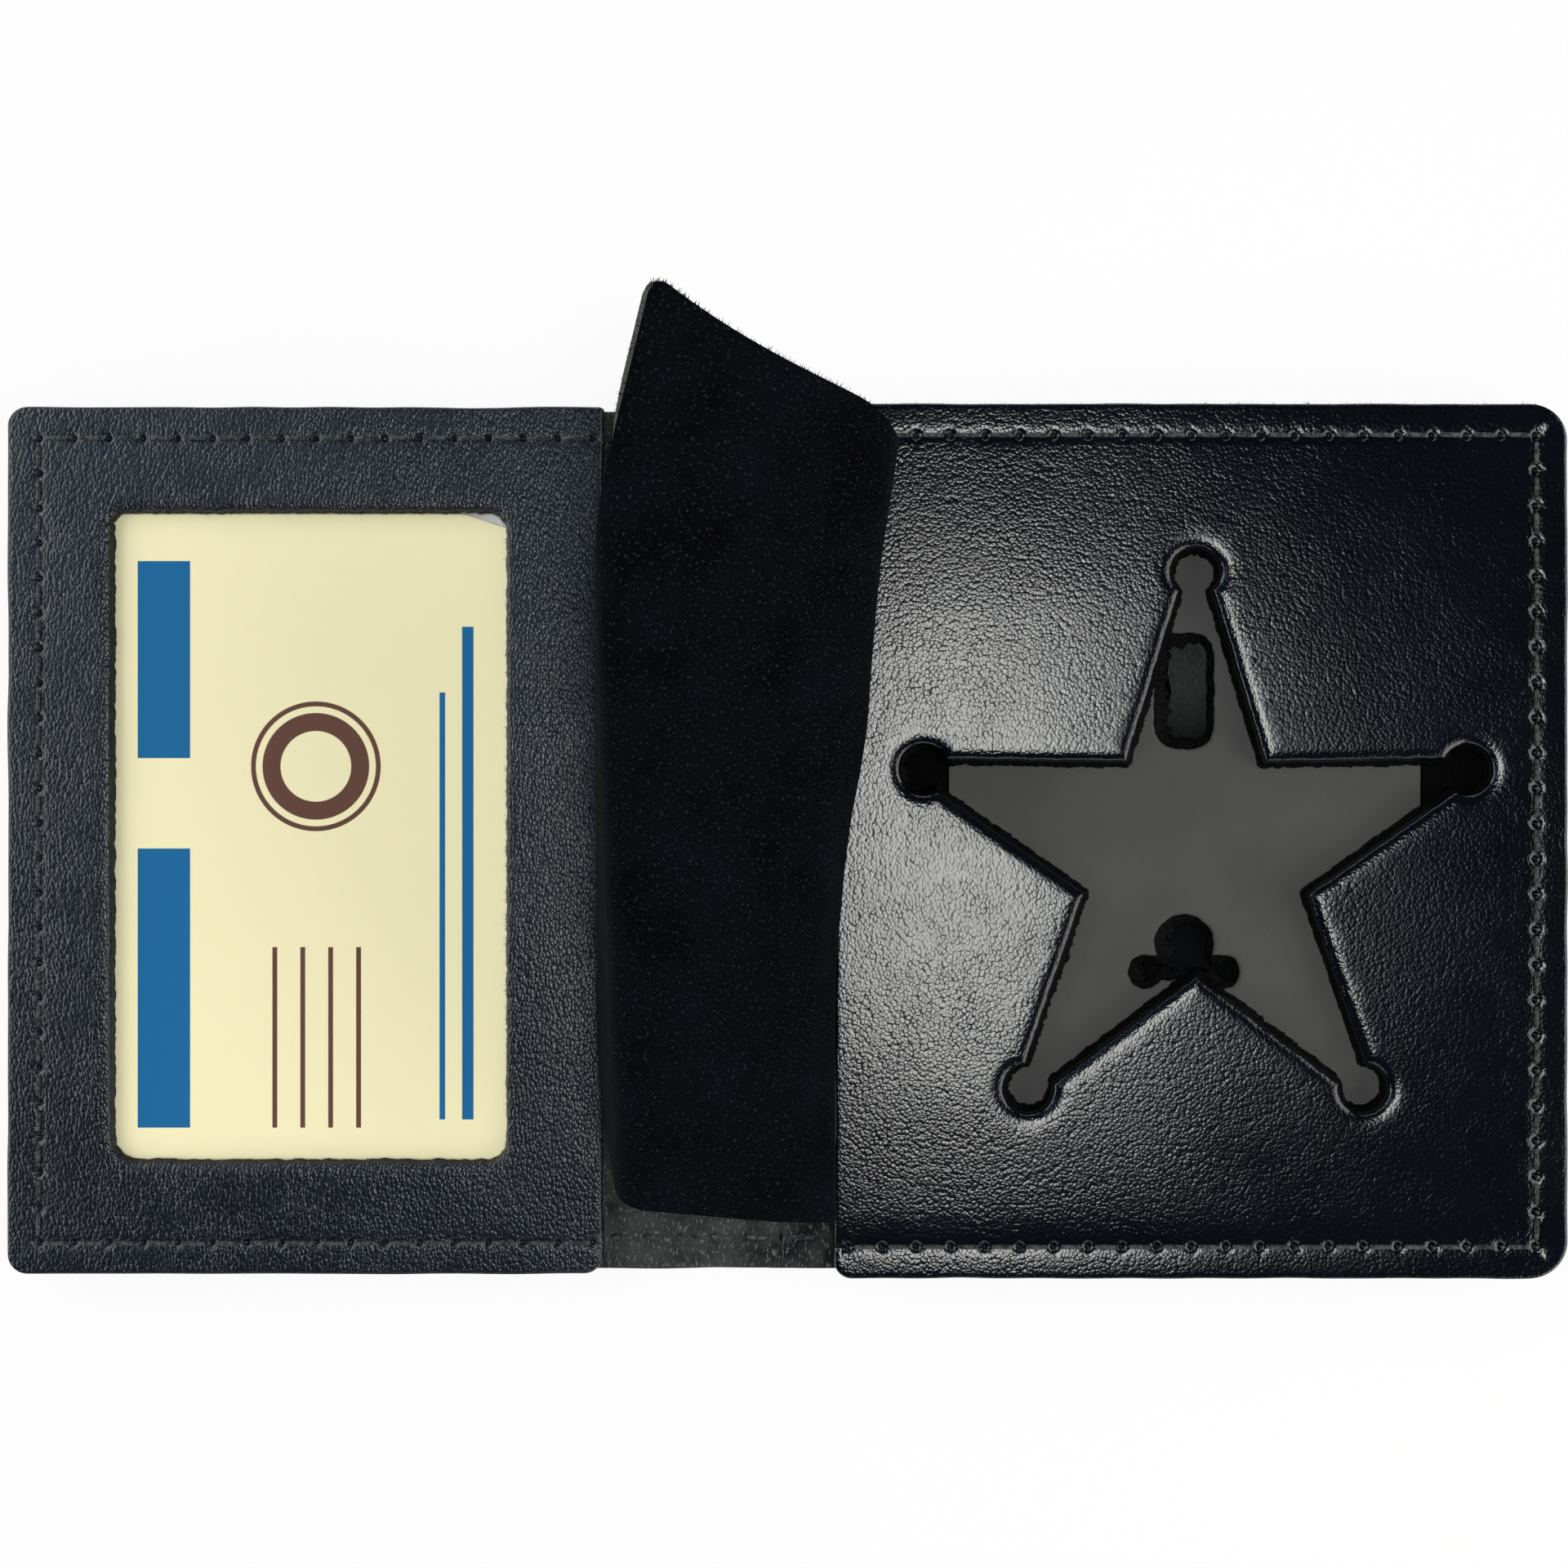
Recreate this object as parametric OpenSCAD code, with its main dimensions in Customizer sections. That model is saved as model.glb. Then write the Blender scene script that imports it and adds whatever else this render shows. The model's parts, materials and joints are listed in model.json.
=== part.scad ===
// Book-style identity wallet with a recessed badge panel, lying open on its outer shell.
// X runs from the card side to the badge side, Y up the panels and Z up from the table.
// The origin is under the middle of the open wallet.

/* [Wallet] */
// Distance from the middle of the wallet to each outer edge
side_reach = 94; // [92:0.5:104]
// Distance between the two fold lines of the spine
spine_w = 10; // [9.5:0.5:12]
// Distance of the badge side's fold line from the middle of the wallet
fold_x = 4.6; // [4:0.1:6]
// Thickness of the shell leather
shell_t = 1.3; // [1:0.1:1.8]
// Radius of the outer corners on the badge side
badge_corner_r = 4.6; // [2:0.1:8]
// Radius of the outer corners on the card side
card_corner_r = 2.4; // [1:0.1:6]

/* [Badge panel] */
// Bare shell between the fold line and the badge panel
badge_edge_gap = 1.4; // [1.3:0.1:3]
// Thickness of the grey backing board and of the spacer round it
board_t = 1.6; // [1:0.1:2.4]
// Thickness of the filler leather
core_t = 1.6; // [1.3:0.1:2.4]
// Thickness of the face leather
face_t = 1.3; // [1:0.1:1.8]
// Radius of the panel's two corners at the spine
panel_corner_r = 2.2; // [1:0.1:4]
// Width of the grey backing board
board_w = 57.4; // [52:0.2:64]
// Height of the grey backing board
board_h = 84; // [78:0.5:90]
// Clearance between the board and the spacer round it
board_gap = 0.25; // [0.1:0.05:0.5]

/* [Star recess] */
// Distance from the star's centre to the centre of each ball tip
star_reach = 34.3; // [31:0.1:37]
// Distance from the star's centre to each inner corner
star_inner_r = 14.1; // [12:0.1:17]
// Radius of each ball tip
ball_r = 2.95; // [2:0.05:3.6]
// Width of an arm where it meets its ball tip
neck_w = 2.6; // [1.6:0.1:3.6]
// Distance of the star's centre from the middle of the panel, towards the spine
star_shift = 0.5; // [0:0.1:2]
// Distance of the star's centre below the middle of the wallet
star_drop = 2; // [0:0.1:4]
// Width of the oblong pin slot
slot_w = 7.3; // [5:0.1:8]
// Height of the oblong pin slot
slot_h = 14.2; // [10:0.1:16]
// Corner radius of the oblong pin slot
slot_r = 2.8; // [1:0.1:3.2]
// Height of the pin slot's centre above the star's centre
slot_rise = 20.2; // [18:0.1:22]
// Radius of the catch hole's round middle
catch_r = 3.6; // [2.6:0.1:4.4]
// Radius of the catch hole's two side lobes
lobe_r = 2.1; // [1.2:0.1:2.6]
// Distance of each side lobe from the catch hole's middle, across
lobe_x = 4.7; // [3.6:0.1:5.6]
// Distance of the side lobes below the catch hole's middle
lobe_drop = 3.4; // [2:0.1:4]
// Depth of the catch hole's middle below the star's centre
catch_drop = 10.6; // [9:0.1:12]
// Distance of both pin holes from the star's centre line, towards the spine
pin_shift = 0.8; // [0:0.1:1.5]

/* [Card pocket] */
// Width of the card panel
pocket_w = 72; // [70:0.5:76]
// Free height of the pocket above the card
pocket_spare = 6.3; // [4:0.1:12]
// Thickness of the white backing sheet
backing_t = 0.4; // [0.2:0.05:0.8]
// Thickness of the welt's leather between the backing sheet and the clear film
welt_t = 0.9; // [0.85:0.05:1.4]
// Thickness of the clear film
film_t = 0.25; // [0.15:0.05:0.4]
// Thickness of the window leather
frame_t = 1.15; // [0.9:0.05:1.6]
// Rim of the welt outside the sheets
welt_rim = 1.5; // [1:0.1:2.5]
// Width of the welt's arms
welt_w = 6.4; // [5.5:0.1:6.6]
// Width of the window
window_w = 48; // [44:0.2:50]
// Height of the window
window_h = 78.9; // [74:0.1:81]
// Corner radius of the window
window_r = 2.4; // [1:0.1:5]
// Distance from the panel's outer edge to the window
window_inset = 12.4; // [11:0.1:14]
// Height of the window's middle above the middle of the wallet
window_rise = 0.5; // [0:0.1:1]

/* [Card] */
// Short side of the card
card_w = 53.98; // [50:0.01:54]
// Long side of the card
card_h = 85.6; // [80:0.1:86]
// Thickness of the card
card_t = 0.76; // [0.5:0.01:0.8]
// Corner radius of the card
card_r = 3.18; // [2:0.01:4]
// Clearance between the card and the welt's inner edges
card_gap = 0.3; // [0.2:0.05:0.5]
// Clearance between the card and the backing sheet
card_lift = 0.05; // [0.03:0.01:0.08]

/* [Flap] */
// Thickness of the flap's leather
flap_t = 1.1; // [0.8:0.05:1.15]
// Width of the flap from its seam to its free edge
flap_w = 55; // [54.5:0.5:64]
// Height of the flap above the middle of the wallet, at its seam
flap_top = 43.5; // [42:0.1:44]
// How much higher the flap's top edge is at its free end than at its seam
flap_rise = 5; // [0:0.1:5]
// Depth of the flap below the middle of the wallet
flap_bottom = 44.5; // [43:0.1:47]
// Width of the flap's tab, glued under the face leather
tab_w = 8.5; // [6:0.1:12]
// Lean of the flap's base from flat
base_angle = 70; // [0:1:78]
// Bend of the flap's middle from its base
middle_angle = 78; // [0:1:85]
// Bend of the flap's tip from its middle
tip_angle = 110; // [0:1:112]
// Distance from the seam to the first crease, at the bottom edge
crease_low = 3; // [2.5:0.1:6]
// Distance from the seam to the first crease, at the top edge
crease_high = 22.2; // [18:0.1:26]
// Distance from the seam to the second crease, at the bottom edge
tip_low = 32; // [30:0.5:36]
// Height above the middle of the wallet at which the second crease meets the free edge
tip_meet = 30; // [24:0.5:34]
// Width of the tip at its upper end, where it is cut off blunt
tip_end_w = 1.2; // [1:0.1:4]
// Corner radius at the free edge's lower end
flap_corner_r = 6; // [2:0.5:8]

/* [Stitching] */
// Length of one stitch with the gap to the next
stitch_pitch = 4.15; // [3:0.05:6]
// Distance of the stitch line from the edge
stitch_margin = 3.8; // [3:0.1:5]
// Thickness of the thread
thread_d = 0.55; // [0.4:0.05:0.7]
// Gap between two stitches, where the needle hole is
needle_gap = 0.9; // [0.5:0.05:1.5]

/* [Hidden] */

$fn = 48;
over = 0.5;
// The wallet is as high as the card, its play and the welt's two arms
wallet_h = card_h + card_gap + pocket_spare + 2 * welt_w;
half_h = wallet_h / 2;
card_fold_x = fold_x - spine_w;
outer_line_x = side_reach - stitch_margin;
outer_line_y = half_h - stitch_margin;

// Badge side, from the shell up
panel_x = fold_x + badge_edge_gap;
board_z = shell_t;
core_z = board_z + board_t;
face_z = core_z + core_t;
face_top = face_z + face_t;
star_x = (panel_x + side_reach) / 2 - star_shift;
star_y = -star_drop;
pin_x = star_x - pin_shift;

// Card side, from the shell up
mouth_x = pocket_w - side_reach;
backing_z = shell_t;
card_z = backing_z + backing_t + card_lift;
film_z = backing_z + backing_t + welt_t;
frame_z = film_z + film_t;
frame_top = frame_z + frame_t;
window_x0 = window_inset - side_reach;
window_y0 = window_rise - window_h / 2;
pocket_x0 = welt_w - side_reach;
pocket_y0 = welt_w - half_h;
card_x0 = pocket_x0 + card_gap;
card_y0 = pocket_y0 + card_gap;

// Flap
flap_gap = 0.3;
riser_gap = 0.15;
riser_x = fold_x + riser_gap;
hinge_x = riser_x + flap_t / 2;
hinge_z = face_top + flap_gap + flap_t / 2;
crease_gap = flap_t / 2 + 0.35 * flap_t;
tab_gap = 0.15;
flap_high = flap_top + flap_rise;
crease_h = flap_bottom + flap_top + flap_rise * crease_high / flap_w;
crease_turn = atan2(crease_high - crease_low, crease_h);
tip_turn = atan2(flap_w - tip_low, flap_bottom + tip_meet);
tip_h = flap_bottom + tip_meet - tip_end_w / tan(tip_turn);

// Stitches lie in a groove on each side of the leather
groove_w = thread_d * 1.4;
groove_depth = thread_d * 0.6;
back_groove_depth = thread_d * 1.1;
thread_sides = 8;
thread_flat = thread_d / 2 * cos(180 / thread_sides);

LEATHER = [0.07, 0.075, 0.09];
SUEDE = [0.05, 0.05, 0.055];
THREAD = [0.16, 0.16, 0.17];

// Rectangle between two corners, with its own radius at each corner:
// lower left, lower right, upper right, upper left
module soft_rect(x0, y0, x1, y1, radii) {
    corners = [[x0, y0, 1, 1], [x1, y0, -1, 1], [x1, y1, -1, -1], [x0, y1, 1, -1]];
    difference() {
        translate([x0, y0]) square([x1 - x0, y1 - y0]);
        for (i = [0 : 3])
            if (radii[i] > 0)
                translate([corners[i][0], corners[i][1]])
                    scale([corners[i][2], corners[i][3]])
                        corner_waste(radii[i]);
    }
}

module corner_waste(r) {
    difference() {
        translate([-over, -over]) square(r + over);
        translate([r, r]) circle(r);
    }
}

module slab(z, t) {
    translate([0, 0, z]) linear_extrude(t) children();
}

// Outlines of the two sides and their panels
module badge_shell_outline() {
    soft_rect(fold_x, -half_h, side_reach, half_h, [0, badge_corner_r, badge_corner_r, 0]);
}

module badge_panel_outline() {
    soft_rect(panel_x, -half_h, side_reach, half_h,
              [panel_corner_r, badge_corner_r, badge_corner_r, panel_corner_r]);
}

module card_shell_outline() {
    soft_rect(-side_reach, -half_h, card_fold_x, half_h, [card_corner_r, 0, 0, card_corner_r]);
}

module card_panel_outline() {
    soft_rect(-side_reach, -half_h, mouth_x, half_h,
              [card_corner_r, panel_corner_r, 0, card_corner_r]);
}

// Five arms that narrow to a neck, each ending in a ball
module star_outline() {
    function spoke(r, a) = [r * cos(a), r * sin(a)];
    function beside(a, d) = spoke(star_reach, a) + d * [-sin(a), cos(a)];
    translate([star_x, star_y]) {
        polygon([for (i = [0 : 4]) let (a = 90 + 72 * i) each
            [beside(a, -neck_w / 2), beside(a, neck_w / 2), spoke(star_inner_r, a + 36)]]);
        for (i = [0 : 4])
            translate(spoke(star_reach, 90 + 72 * i)) circle(ball_r);
    }
}

module board_outline(grow) {
    translate([pin_x, star_y])
        square([board_w + 2 * grow, board_h + 2 * grow], center = true);
}

module pin_slot_outline() {
    x0 = pin_x - slot_w / 2;
    y0 = star_y + slot_rise - slot_h / 2;
    soft_rect(x0, y0, x0 + slot_w, y0 + slot_h, [slot_r, slot_r, slot_r, slot_r]);
}

module catch_hole_outline() {
    translate([pin_x, star_y - catch_drop]) {
        circle(catch_r);
        for (s = [-1, 1])
            translate([s * lobe_x, -lobe_drop]) circle(lobe_r);
        translate([-lobe_x, -lobe_drop - lobe_r / 2]) square([2 * lobe_x, lobe_r]);
    }
}

// A row of stitches from one point to another, on the floor of its groove
module stitch_row(x0, y0, x1, y1, z) {
    length = norm([x1 - x0, y1 - y0]);
    count = floor(length / stitch_pitch);
    margin = (length - count * stitch_pitch + needle_gap) / 2;
    translate([x0, y0, z])
        rotate([0, 0, atan2(y1 - y0, x1 - x0)])
            for (i = [0 : count - 1])
                translate([margin + i * stitch_pitch, 0, 0])
                    rotate([0, 90, 0])
                        rotate([0, 0, 180 / thread_sides])
                            cylinder(d = thread_d, h = stitch_pitch - needle_gap, $fn = thread_sides);
}

module groove(x0, y0, x1, y1, z, depth) {
    length = norm([x1 - x0, y1 - y0]);
    translate([x0, y0, z])
        rotate([0, 0, atan2(y1 - y0, x1 - x0)])
            translate([-groove_w / 2, -groove_w / 2, 0])
                cube([length + groove_w, groove_w, depth]);
}

function face_thread_z(top) = top - groove_depth + thread_flat;
back_thread_z = back_groove_depth - thread_flat;

// Stitch lines of each side: along the top, down the outer edge and along the bottom
function badge_lines(x0) = [
    [x0, outer_line_y, outer_line_x, outer_line_y],
    [outer_line_x, outer_line_y, outer_line_x, -outer_line_y],
    [x0, -outer_line_y, outer_line_x, -outer_line_y]];
function card_lines(x0) = [
    [x0, outer_line_y, -outer_line_x, outer_line_y],
    [-outer_line_x, outer_line_y, -outer_line_x, -outer_line_y],
    [x0, -outer_line_y, -outer_line_x, -outer_line_y]];
function cross_lines(x0, x1) = [
    [x0, outer_line_y, x1, outer_line_y],
    [x0, -outer_line_y, x1, -outer_line_y]];

module grooves(lines, z, depth) {
    for (p = lines) groove(p[0], p[1], p[2], p[3], z, depth);
}

module stitches(lines, z) {
    for (p = lines) stitch_row(p[0], p[1], p[2], p[3], z);
}

// Badge side
module badge_shell() color(LEATHER) difference() {
    slab(0, shell_t) badge_shell_outline();
    grooves(badge_lines(fold_x), -over, back_groove_depth + over);
}

module badge_spacer() color(SUEDE) difference() {
    slab(board_z, board_t) badge_panel_outline();
    slab(board_z - over, board_t + 2 * over) board_outline(board_gap);
}

module badge_board() color([0.3, 0.3, 0.29]) difference() {
    slab(board_z, board_t) board_outline(0);
    slab(board_z - over, board_t + 2 * over) pin_slot_outline();
    slab(board_z - over, board_t + 2 * over) catch_hole_outline();
}

module badge_core() color(SUEDE) difference() {
    slab(core_z, core_t) badge_panel_outline();
    slab(core_z - over, core_t + 2 * over) star_outline();
    translate([panel_x - over, -flap_bottom - tab_gap, core_z - over])
        cube([riser_x + tab_w + tab_gap - panel_x + over, flap_top + flap_bottom + 2 * tab_gap,
              core_t + 2 * over]);
}

module badge_face() color(LEATHER) difference() {
    slab(face_z, face_t) badge_panel_outline();
    slab(face_z - over, face_t + 2 * over) star_outline();
    grooves(badge_lines(panel_x - over), face_top - groove_depth, groove_depth + over);
}

module badge_stitching() color(THREAD) {
    stitches(badge_lines(panel_x), face_thread_z(face_top));
    stitches(badge_lines(fold_x), back_thread_z);
}

// The flap's fixed edge: a tab in the filler's rebate and a riser past the panel's edge
module flap_tab() color(SUEDE) {
    height = flap_top + flap_bottom;
    riser_top = hinge_z - crease_gap;
    translate([riser_x, -flap_bottom, core_z]) {
        cube([tab_w, height, flap_t]);
        cube([flap_t, height, riser_top - core_z]);
    }
}

// Frames of the flap's three leaves, each turned about the crease before it.
// In each frame X runs from the seam to the free edge of the flat flap.
module base_frame() {
    translate([hinge_x, 0, hinge_z]) rotate([0, -base_angle, 0]) children();
}

module crease_frame(x, turn, bend) {
    translate([x, -flap_bottom, 0])
        rotate([0, 0, -turn]) rotate([0, -bend, 0]) rotate([0, 0, turn])
            translate([-x, flap_bottom, 0]) children();
}

module middle_frame() {
    base_frame() crease_frame(crease_low, crease_turn, middle_angle) children();
}

module tip_frame() {
    middle_frame() crease_frame(tip_low, tip_turn, tip_angle) children();
}

// Rounded edge of a leaf along its crease
module crease_edge(x, turn, h) {
    translate([x, -flap_bottom, 0])
        rotate([0, 0, -turn]) rotate([-90, 0, 0])
            cylinder(d = flap_t, h = h / cos(turn));
}

// A leaf of the flat flap, from its corners
module leaf(corners) {
    translate([0, 0, -flap_t / 2])
        linear_extrude(flap_t)
            difference() {
                polygon(corners);
                translate([flap_w, -flap_bottom]) mirror([1, 0]) corner_waste(flap_corner_r);
            }
}

module flap_base() color(SUEDE) base_frame() {
    slit = crease_gap / cos(crease_turn);
    leaf([[0, -flap_bottom], [crease_low - slit, -flap_bottom],
          [crease_high - slit, crease_h - flap_bottom], [0, flap_top]]);
    crease_edge(0, 0, flap_bottom + flap_top);
}

module flap_middle() color(SUEDE) middle_frame() {
    leaf([[crease_low, -flap_bottom], [tip_low - crease_gap / cos(tip_turn), -flap_bottom],
          [flap_w, tip_meet + crease_gap / sin(tip_turn)], [flap_w, flap_high],
          [crease_high, crease_h - flap_bottom]]);
    crease_edge(crease_low, crease_turn, crease_h);
}

module flap_tip() color(SUEDE) tip_frame() {
    leaf([[tip_low, -flap_bottom], [flap_w, -flap_bottom],
          [flap_w, tip_h - flap_bottom], [flap_w - tip_end_w, tip_h - flap_bottom]]);
    crease_edge(tip_low, tip_turn, tip_h);
}

// Spine
module spine_shell() color(LEATHER) difference() {
    slab(0, shell_t)
        translate([card_fold_x, -half_h]) square([spine_w, wallet_h]);
    grooves(cross_lines(card_fold_x, fold_x), -over, back_groove_depth + over);
    grooves(cross_lines(card_fold_x, fold_x), shell_t - groove_depth, groove_depth + over);
}

module spine_stitching() color(THREAD) {
    stitches(cross_lines(card_fold_x, fold_x), face_thread_z(shell_t));
    stitches(cross_lines(card_fold_x, fold_x), back_thread_z);
}

// Card side
module card_shell() color(LEATHER) difference() {
    slab(0, shell_t) card_shell_outline();
    grooves(card_lines(card_fold_x), -over, back_groove_depth + over);
    grooves(cross_lines(mouth_x, card_fold_x), shell_t - groove_depth, groove_depth + over);
}

// Space inside the welt's rim, where the backing sheet and the film lie
module sheet_outline() {
    translate([welt_rim - side_reach, welt_rim - half_h])
        square([pocket_w - 2 * welt_rim, wallet_h - 2 * welt_rim]);
}

module pocket_backing() color([0.93, 0.93, 0.92]) slab(backing_z, backing_t) sheet_outline();

module window_film() color([0.85, 0.9, 0.95, 0.35]) slab(film_z, film_t) sheet_outline();

// Three arms round the card, open towards the spine, with a rim outside the two sheets
module pocket_welt() color(SUEDE) difference() {
    slab(backing_z, frame_z - backing_z) card_panel_outline();
    translate([pocket_x0, pocket_y0, backing_z - over])
        cube([pocket_w, wallet_h - 2 * welt_w, frame_z - backing_z + 2 * over]);
    sheet_rebate(backing_z - over, backing_t + over);
    sheet_rebate(film_z, film_t + over);
}

module sheet_rebate(z, t) {
    translate([welt_rim - side_reach, welt_rim - half_h, z])
        cube([pocket_w, wallet_h - 2 * welt_rim, t]);
}

module window_frame() color(LEATHER) difference() {
    slab(frame_z, frame_t) card_panel_outline();
    slab(frame_z - over, frame_t + 2 * over)
        soft_rect(window_x0, window_y0, window_x0 + window_w, window_y0 + window_h,
                  [window_r, window_r, window_r, window_r]);
    grooves(card_lines(mouth_x + over), frame_top - groove_depth, groove_depth + over);
}

module card_side_stitching() color(THREAD) {
    stitches(card_lines(mouth_x), face_thread_z(frame_top));
    stitches(cross_lines(mouth_x, card_fold_x), face_thread_z(shell_t));
    stitches(card_lines(card_fold_x), back_thread_z);
}

// Plain card, held by the welt's outer and lower arms
module id_card() color([0.96, 0.92, 0.76])
    slab(card_z, card_t)
        soft_rect(card_x0, card_y0, card_x0 + card_w, card_y0 + card_h, [card_r, card_r, card_r, card_r]);

badge_shell();
badge_spacer();
badge_board();
badge_core();
badge_face();
badge_stitching();
flap_tab();
flap_base();
flap_middle();
flap_tip();
spine_shell();
spine_stitching();
card_shell();
pocket_backing();
pocket_welt();
window_film();
window_frame();
card_side_stitching();
id_card();
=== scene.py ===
"""Open leather badge wallet: detailed sheets, thread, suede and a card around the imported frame.

Shapes are worked out in millimetres and become metres when a mesh is made.
"""

import json
import math

import bpy
import numpy as np
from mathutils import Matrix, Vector, noise
from mathutils.geometry import delaunay_2d_cdt


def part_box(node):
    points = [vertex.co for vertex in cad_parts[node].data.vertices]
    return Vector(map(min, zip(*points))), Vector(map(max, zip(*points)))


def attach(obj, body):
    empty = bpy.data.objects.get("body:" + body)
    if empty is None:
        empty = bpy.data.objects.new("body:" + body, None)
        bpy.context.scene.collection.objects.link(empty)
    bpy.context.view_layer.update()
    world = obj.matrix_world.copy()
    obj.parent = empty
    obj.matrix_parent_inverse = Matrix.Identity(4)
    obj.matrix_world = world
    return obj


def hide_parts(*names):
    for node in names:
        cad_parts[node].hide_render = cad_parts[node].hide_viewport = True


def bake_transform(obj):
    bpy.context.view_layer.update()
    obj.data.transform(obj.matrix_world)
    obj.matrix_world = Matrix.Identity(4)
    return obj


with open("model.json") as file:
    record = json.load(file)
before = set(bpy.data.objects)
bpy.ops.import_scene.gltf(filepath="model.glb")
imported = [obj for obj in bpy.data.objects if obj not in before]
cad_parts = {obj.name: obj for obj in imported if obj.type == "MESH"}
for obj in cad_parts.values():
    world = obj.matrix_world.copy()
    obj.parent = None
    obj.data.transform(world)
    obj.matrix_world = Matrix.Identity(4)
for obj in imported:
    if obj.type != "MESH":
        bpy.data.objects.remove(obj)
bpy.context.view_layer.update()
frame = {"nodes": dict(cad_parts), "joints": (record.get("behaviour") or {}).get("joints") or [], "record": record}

MM = 0.001


def span(node):
    """Lowest and highest corner of a CAD node, in millimetres."""
    low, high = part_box(node)
    return np.array(low) / MM, np.array(high) / MM


# Places taken from the frame
joints = {joint["name"]: joint for joint in frame["joints"]}
mounts = {mount["name"]: mount for mount in frame["record"]["mounts"]}
shell_low, shell_high = span("badge_shell")
card_shell_low, card_shell_high = span("card_shell")
face_low, face_high = span("badge_face")
core_low, core_high = span("badge_core")
board_low, board_high = span("badge_board")
window_low, window_high = span("window_frame")
film_low, film_high = span("window_film")
card_low, card_high = span("id_card")
badge_thread_low, badge_thread_high = span("badge_stitching")
card_thread_low, card_thread_high = span("card_side_stitching")
tab_low, tab_high = span("flap_tab")
star_centre = np.array(mounts["badge_recess"]["pos_m"][:2]) / MM
fold_x = joints["spine_fold"]["pos_m"][0] / MM
card_fold_x = joints["card_side_fold"]["pos_m"][0] / MM
spine_x = (fold_x + card_fold_x) / 2

# Real sizes that a box doesn't give, in millimetres
BADGE_CORNER_R = 4.6
CARD_CORNER_R = 2.4
PANEL_CORNER_R = 2.2
SHARP_R = 0.3
STAR_REACH = 34.3
STAR_INNER_R = 14.1
STAR_BALL_R = 2.95
STAR_NECK_W = 2.6
SLOT_W = 7.3
SLOT_H = 14.2
SLOT_R = 2.8
SLOT_RISE = 20.2
CATCH_R = 3.6
LOBE_R = 2.1
LOBE_X = 4.7
LOBE_DROP = 3.4
CATCH_DROP = 10.6
HUB_DROP = 0.55 * LOBE_DROP
LINK_R = 0.6 * LOBE_R
WINDOW_W = 48.0
WINDOW_H = 78.9
WINDOW_RADII = (3.2, 2.6, 2.4, 1.8)
WINDOW_INSET = 12.4
WINDOW_RISE = 0.5
CARD_R = 3.18
THREAD_D = 0.55
STITCH_PITCH = 4.15
FLAP_T = 1.1
FLAP_W = 55.0
FLAP_TOP = 43.5
FLAP_RISE = 5.0
FLAP_BOTTOM = -44.5
FLAP_HIGH_R = 2.0
FLAP_LOW_R = 7.0

# Outlines in the plane of the wallet. An arc's sides are no longer than this
ARC_STEP = 0.35


def arc(x, y, radius, start, end):
    """Points on an arc between two angles in degrees."""
    length = abs(math.radians(end - start)) * radius
    angles = np.radians(np.linspace(start, end, max(3, math.ceil(length / ARC_STEP) + 1)))
    return np.column_stack((x + radius * np.cos(angles), y + radius * np.sin(angles)))


def soft_rect(x0, y0, x1, y1, radii):
    """Anticlockwise rectangle with a radius for each corner, from the lower left one."""
    corners = ((x0, y0, 1, 1), (x1, y0, -1, 1), (x1, y1, -1, -1), (x0, y1, 1, -1))
    sides = []
    for i, ((x, y, right, up), r) in enumerate(zip(corners, radii)):
        start = 180 + 90 * i
        sides.append(arc(x + right * r, y + up * r, r, start, start + 90))
    return np.vstack(sides)


def star_loop():
    """Anticlockwise outline of the star with a ball at the end of each arm."""
    loop = []
    for i in range(5):
        lean = 90 + 72 * i
        along = spoke(lean)
        across = spoke(lean + 90)
        ball = star_centre + STAR_REACH * along
        ends = []
        for side in (-1, 1):
            corner = star_centre + STAR_INNER_R * spoke(lean + 36 * side)
            neck = ball + side * STAR_NECK_W / 2 * across
            ends.append((corner, meet(corner, neck, ball)))
        first, last = (np.degrees(math.atan2(*(end - ball)[::-1])) for corner, end in ends)
        first = lean - (lean - first) % 360
        last = lean + (last - lean) % 360
        loop += [ends[0][0][None], arc(*ball, STAR_BALL_R, first, last)]
    return np.vstack(loop)


def spoke(degrees):
    return np.array((math.cos(math.radians(degrees)), math.sin(math.radians(degrees))))


def meet(corner, neck, ball):
    """Where an arm's side, from the corner to the neck, reaches the ball."""
    way = neck - corner
    off = corner - ball
    a, b, c = way @ way, 2 * way @ off, off @ off - STAR_BALL_R ** 2
    return corner + way * (-b - math.sqrt(b * b - 4 * a * c)) / (2 * a)


def walk(loop, step):
    """The closed outline again, with no side longer than step."""
    points = []
    for a, b in zip(loop, np.roll(loop, -1, axis=0)):
        length = math.dist(a, b)
        if length > 1e-6:
            count = math.ceil(length / step)
            points += [a + (b - a) * i / count for i in range(count)]
    return np.array(points)


def outward(loop):
    """Unit normals that point out of an anticlockwise outline."""
    way = np.roll(loop, -1, axis=0) - np.roll(loop, 1, axis=0)
    way /= np.linalg.norm(way, axis=1)[:, None]
    return np.column_stack((way[:, 1], -way[:, 0]))


def ragged(loop, amount, size, seed):
    """The outline with small random waves, as a knife or a press leaves it."""
    shift = np.array([noise.noise(Vector((x / size, y / size, seed))) for x, y in loop])
    return loop + outward(loop) * (amount * shift)[:, None]


def inside(points, loop):
    x, y = points[:, 0], points[:, 1]
    found = np.zeros(len(points), bool)
    for (x0, y0), (x1, y1) in zip(loop, np.roll(loop, -1, axis=0)):
        crosses = (y0 > y) != (y1 > y)
        if crosses.any():
            found[crosses] ^= x[crosses] < x0 + (x1 - x0) * (y[crosses] - y0) / (y1 - y0)
    return found


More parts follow.
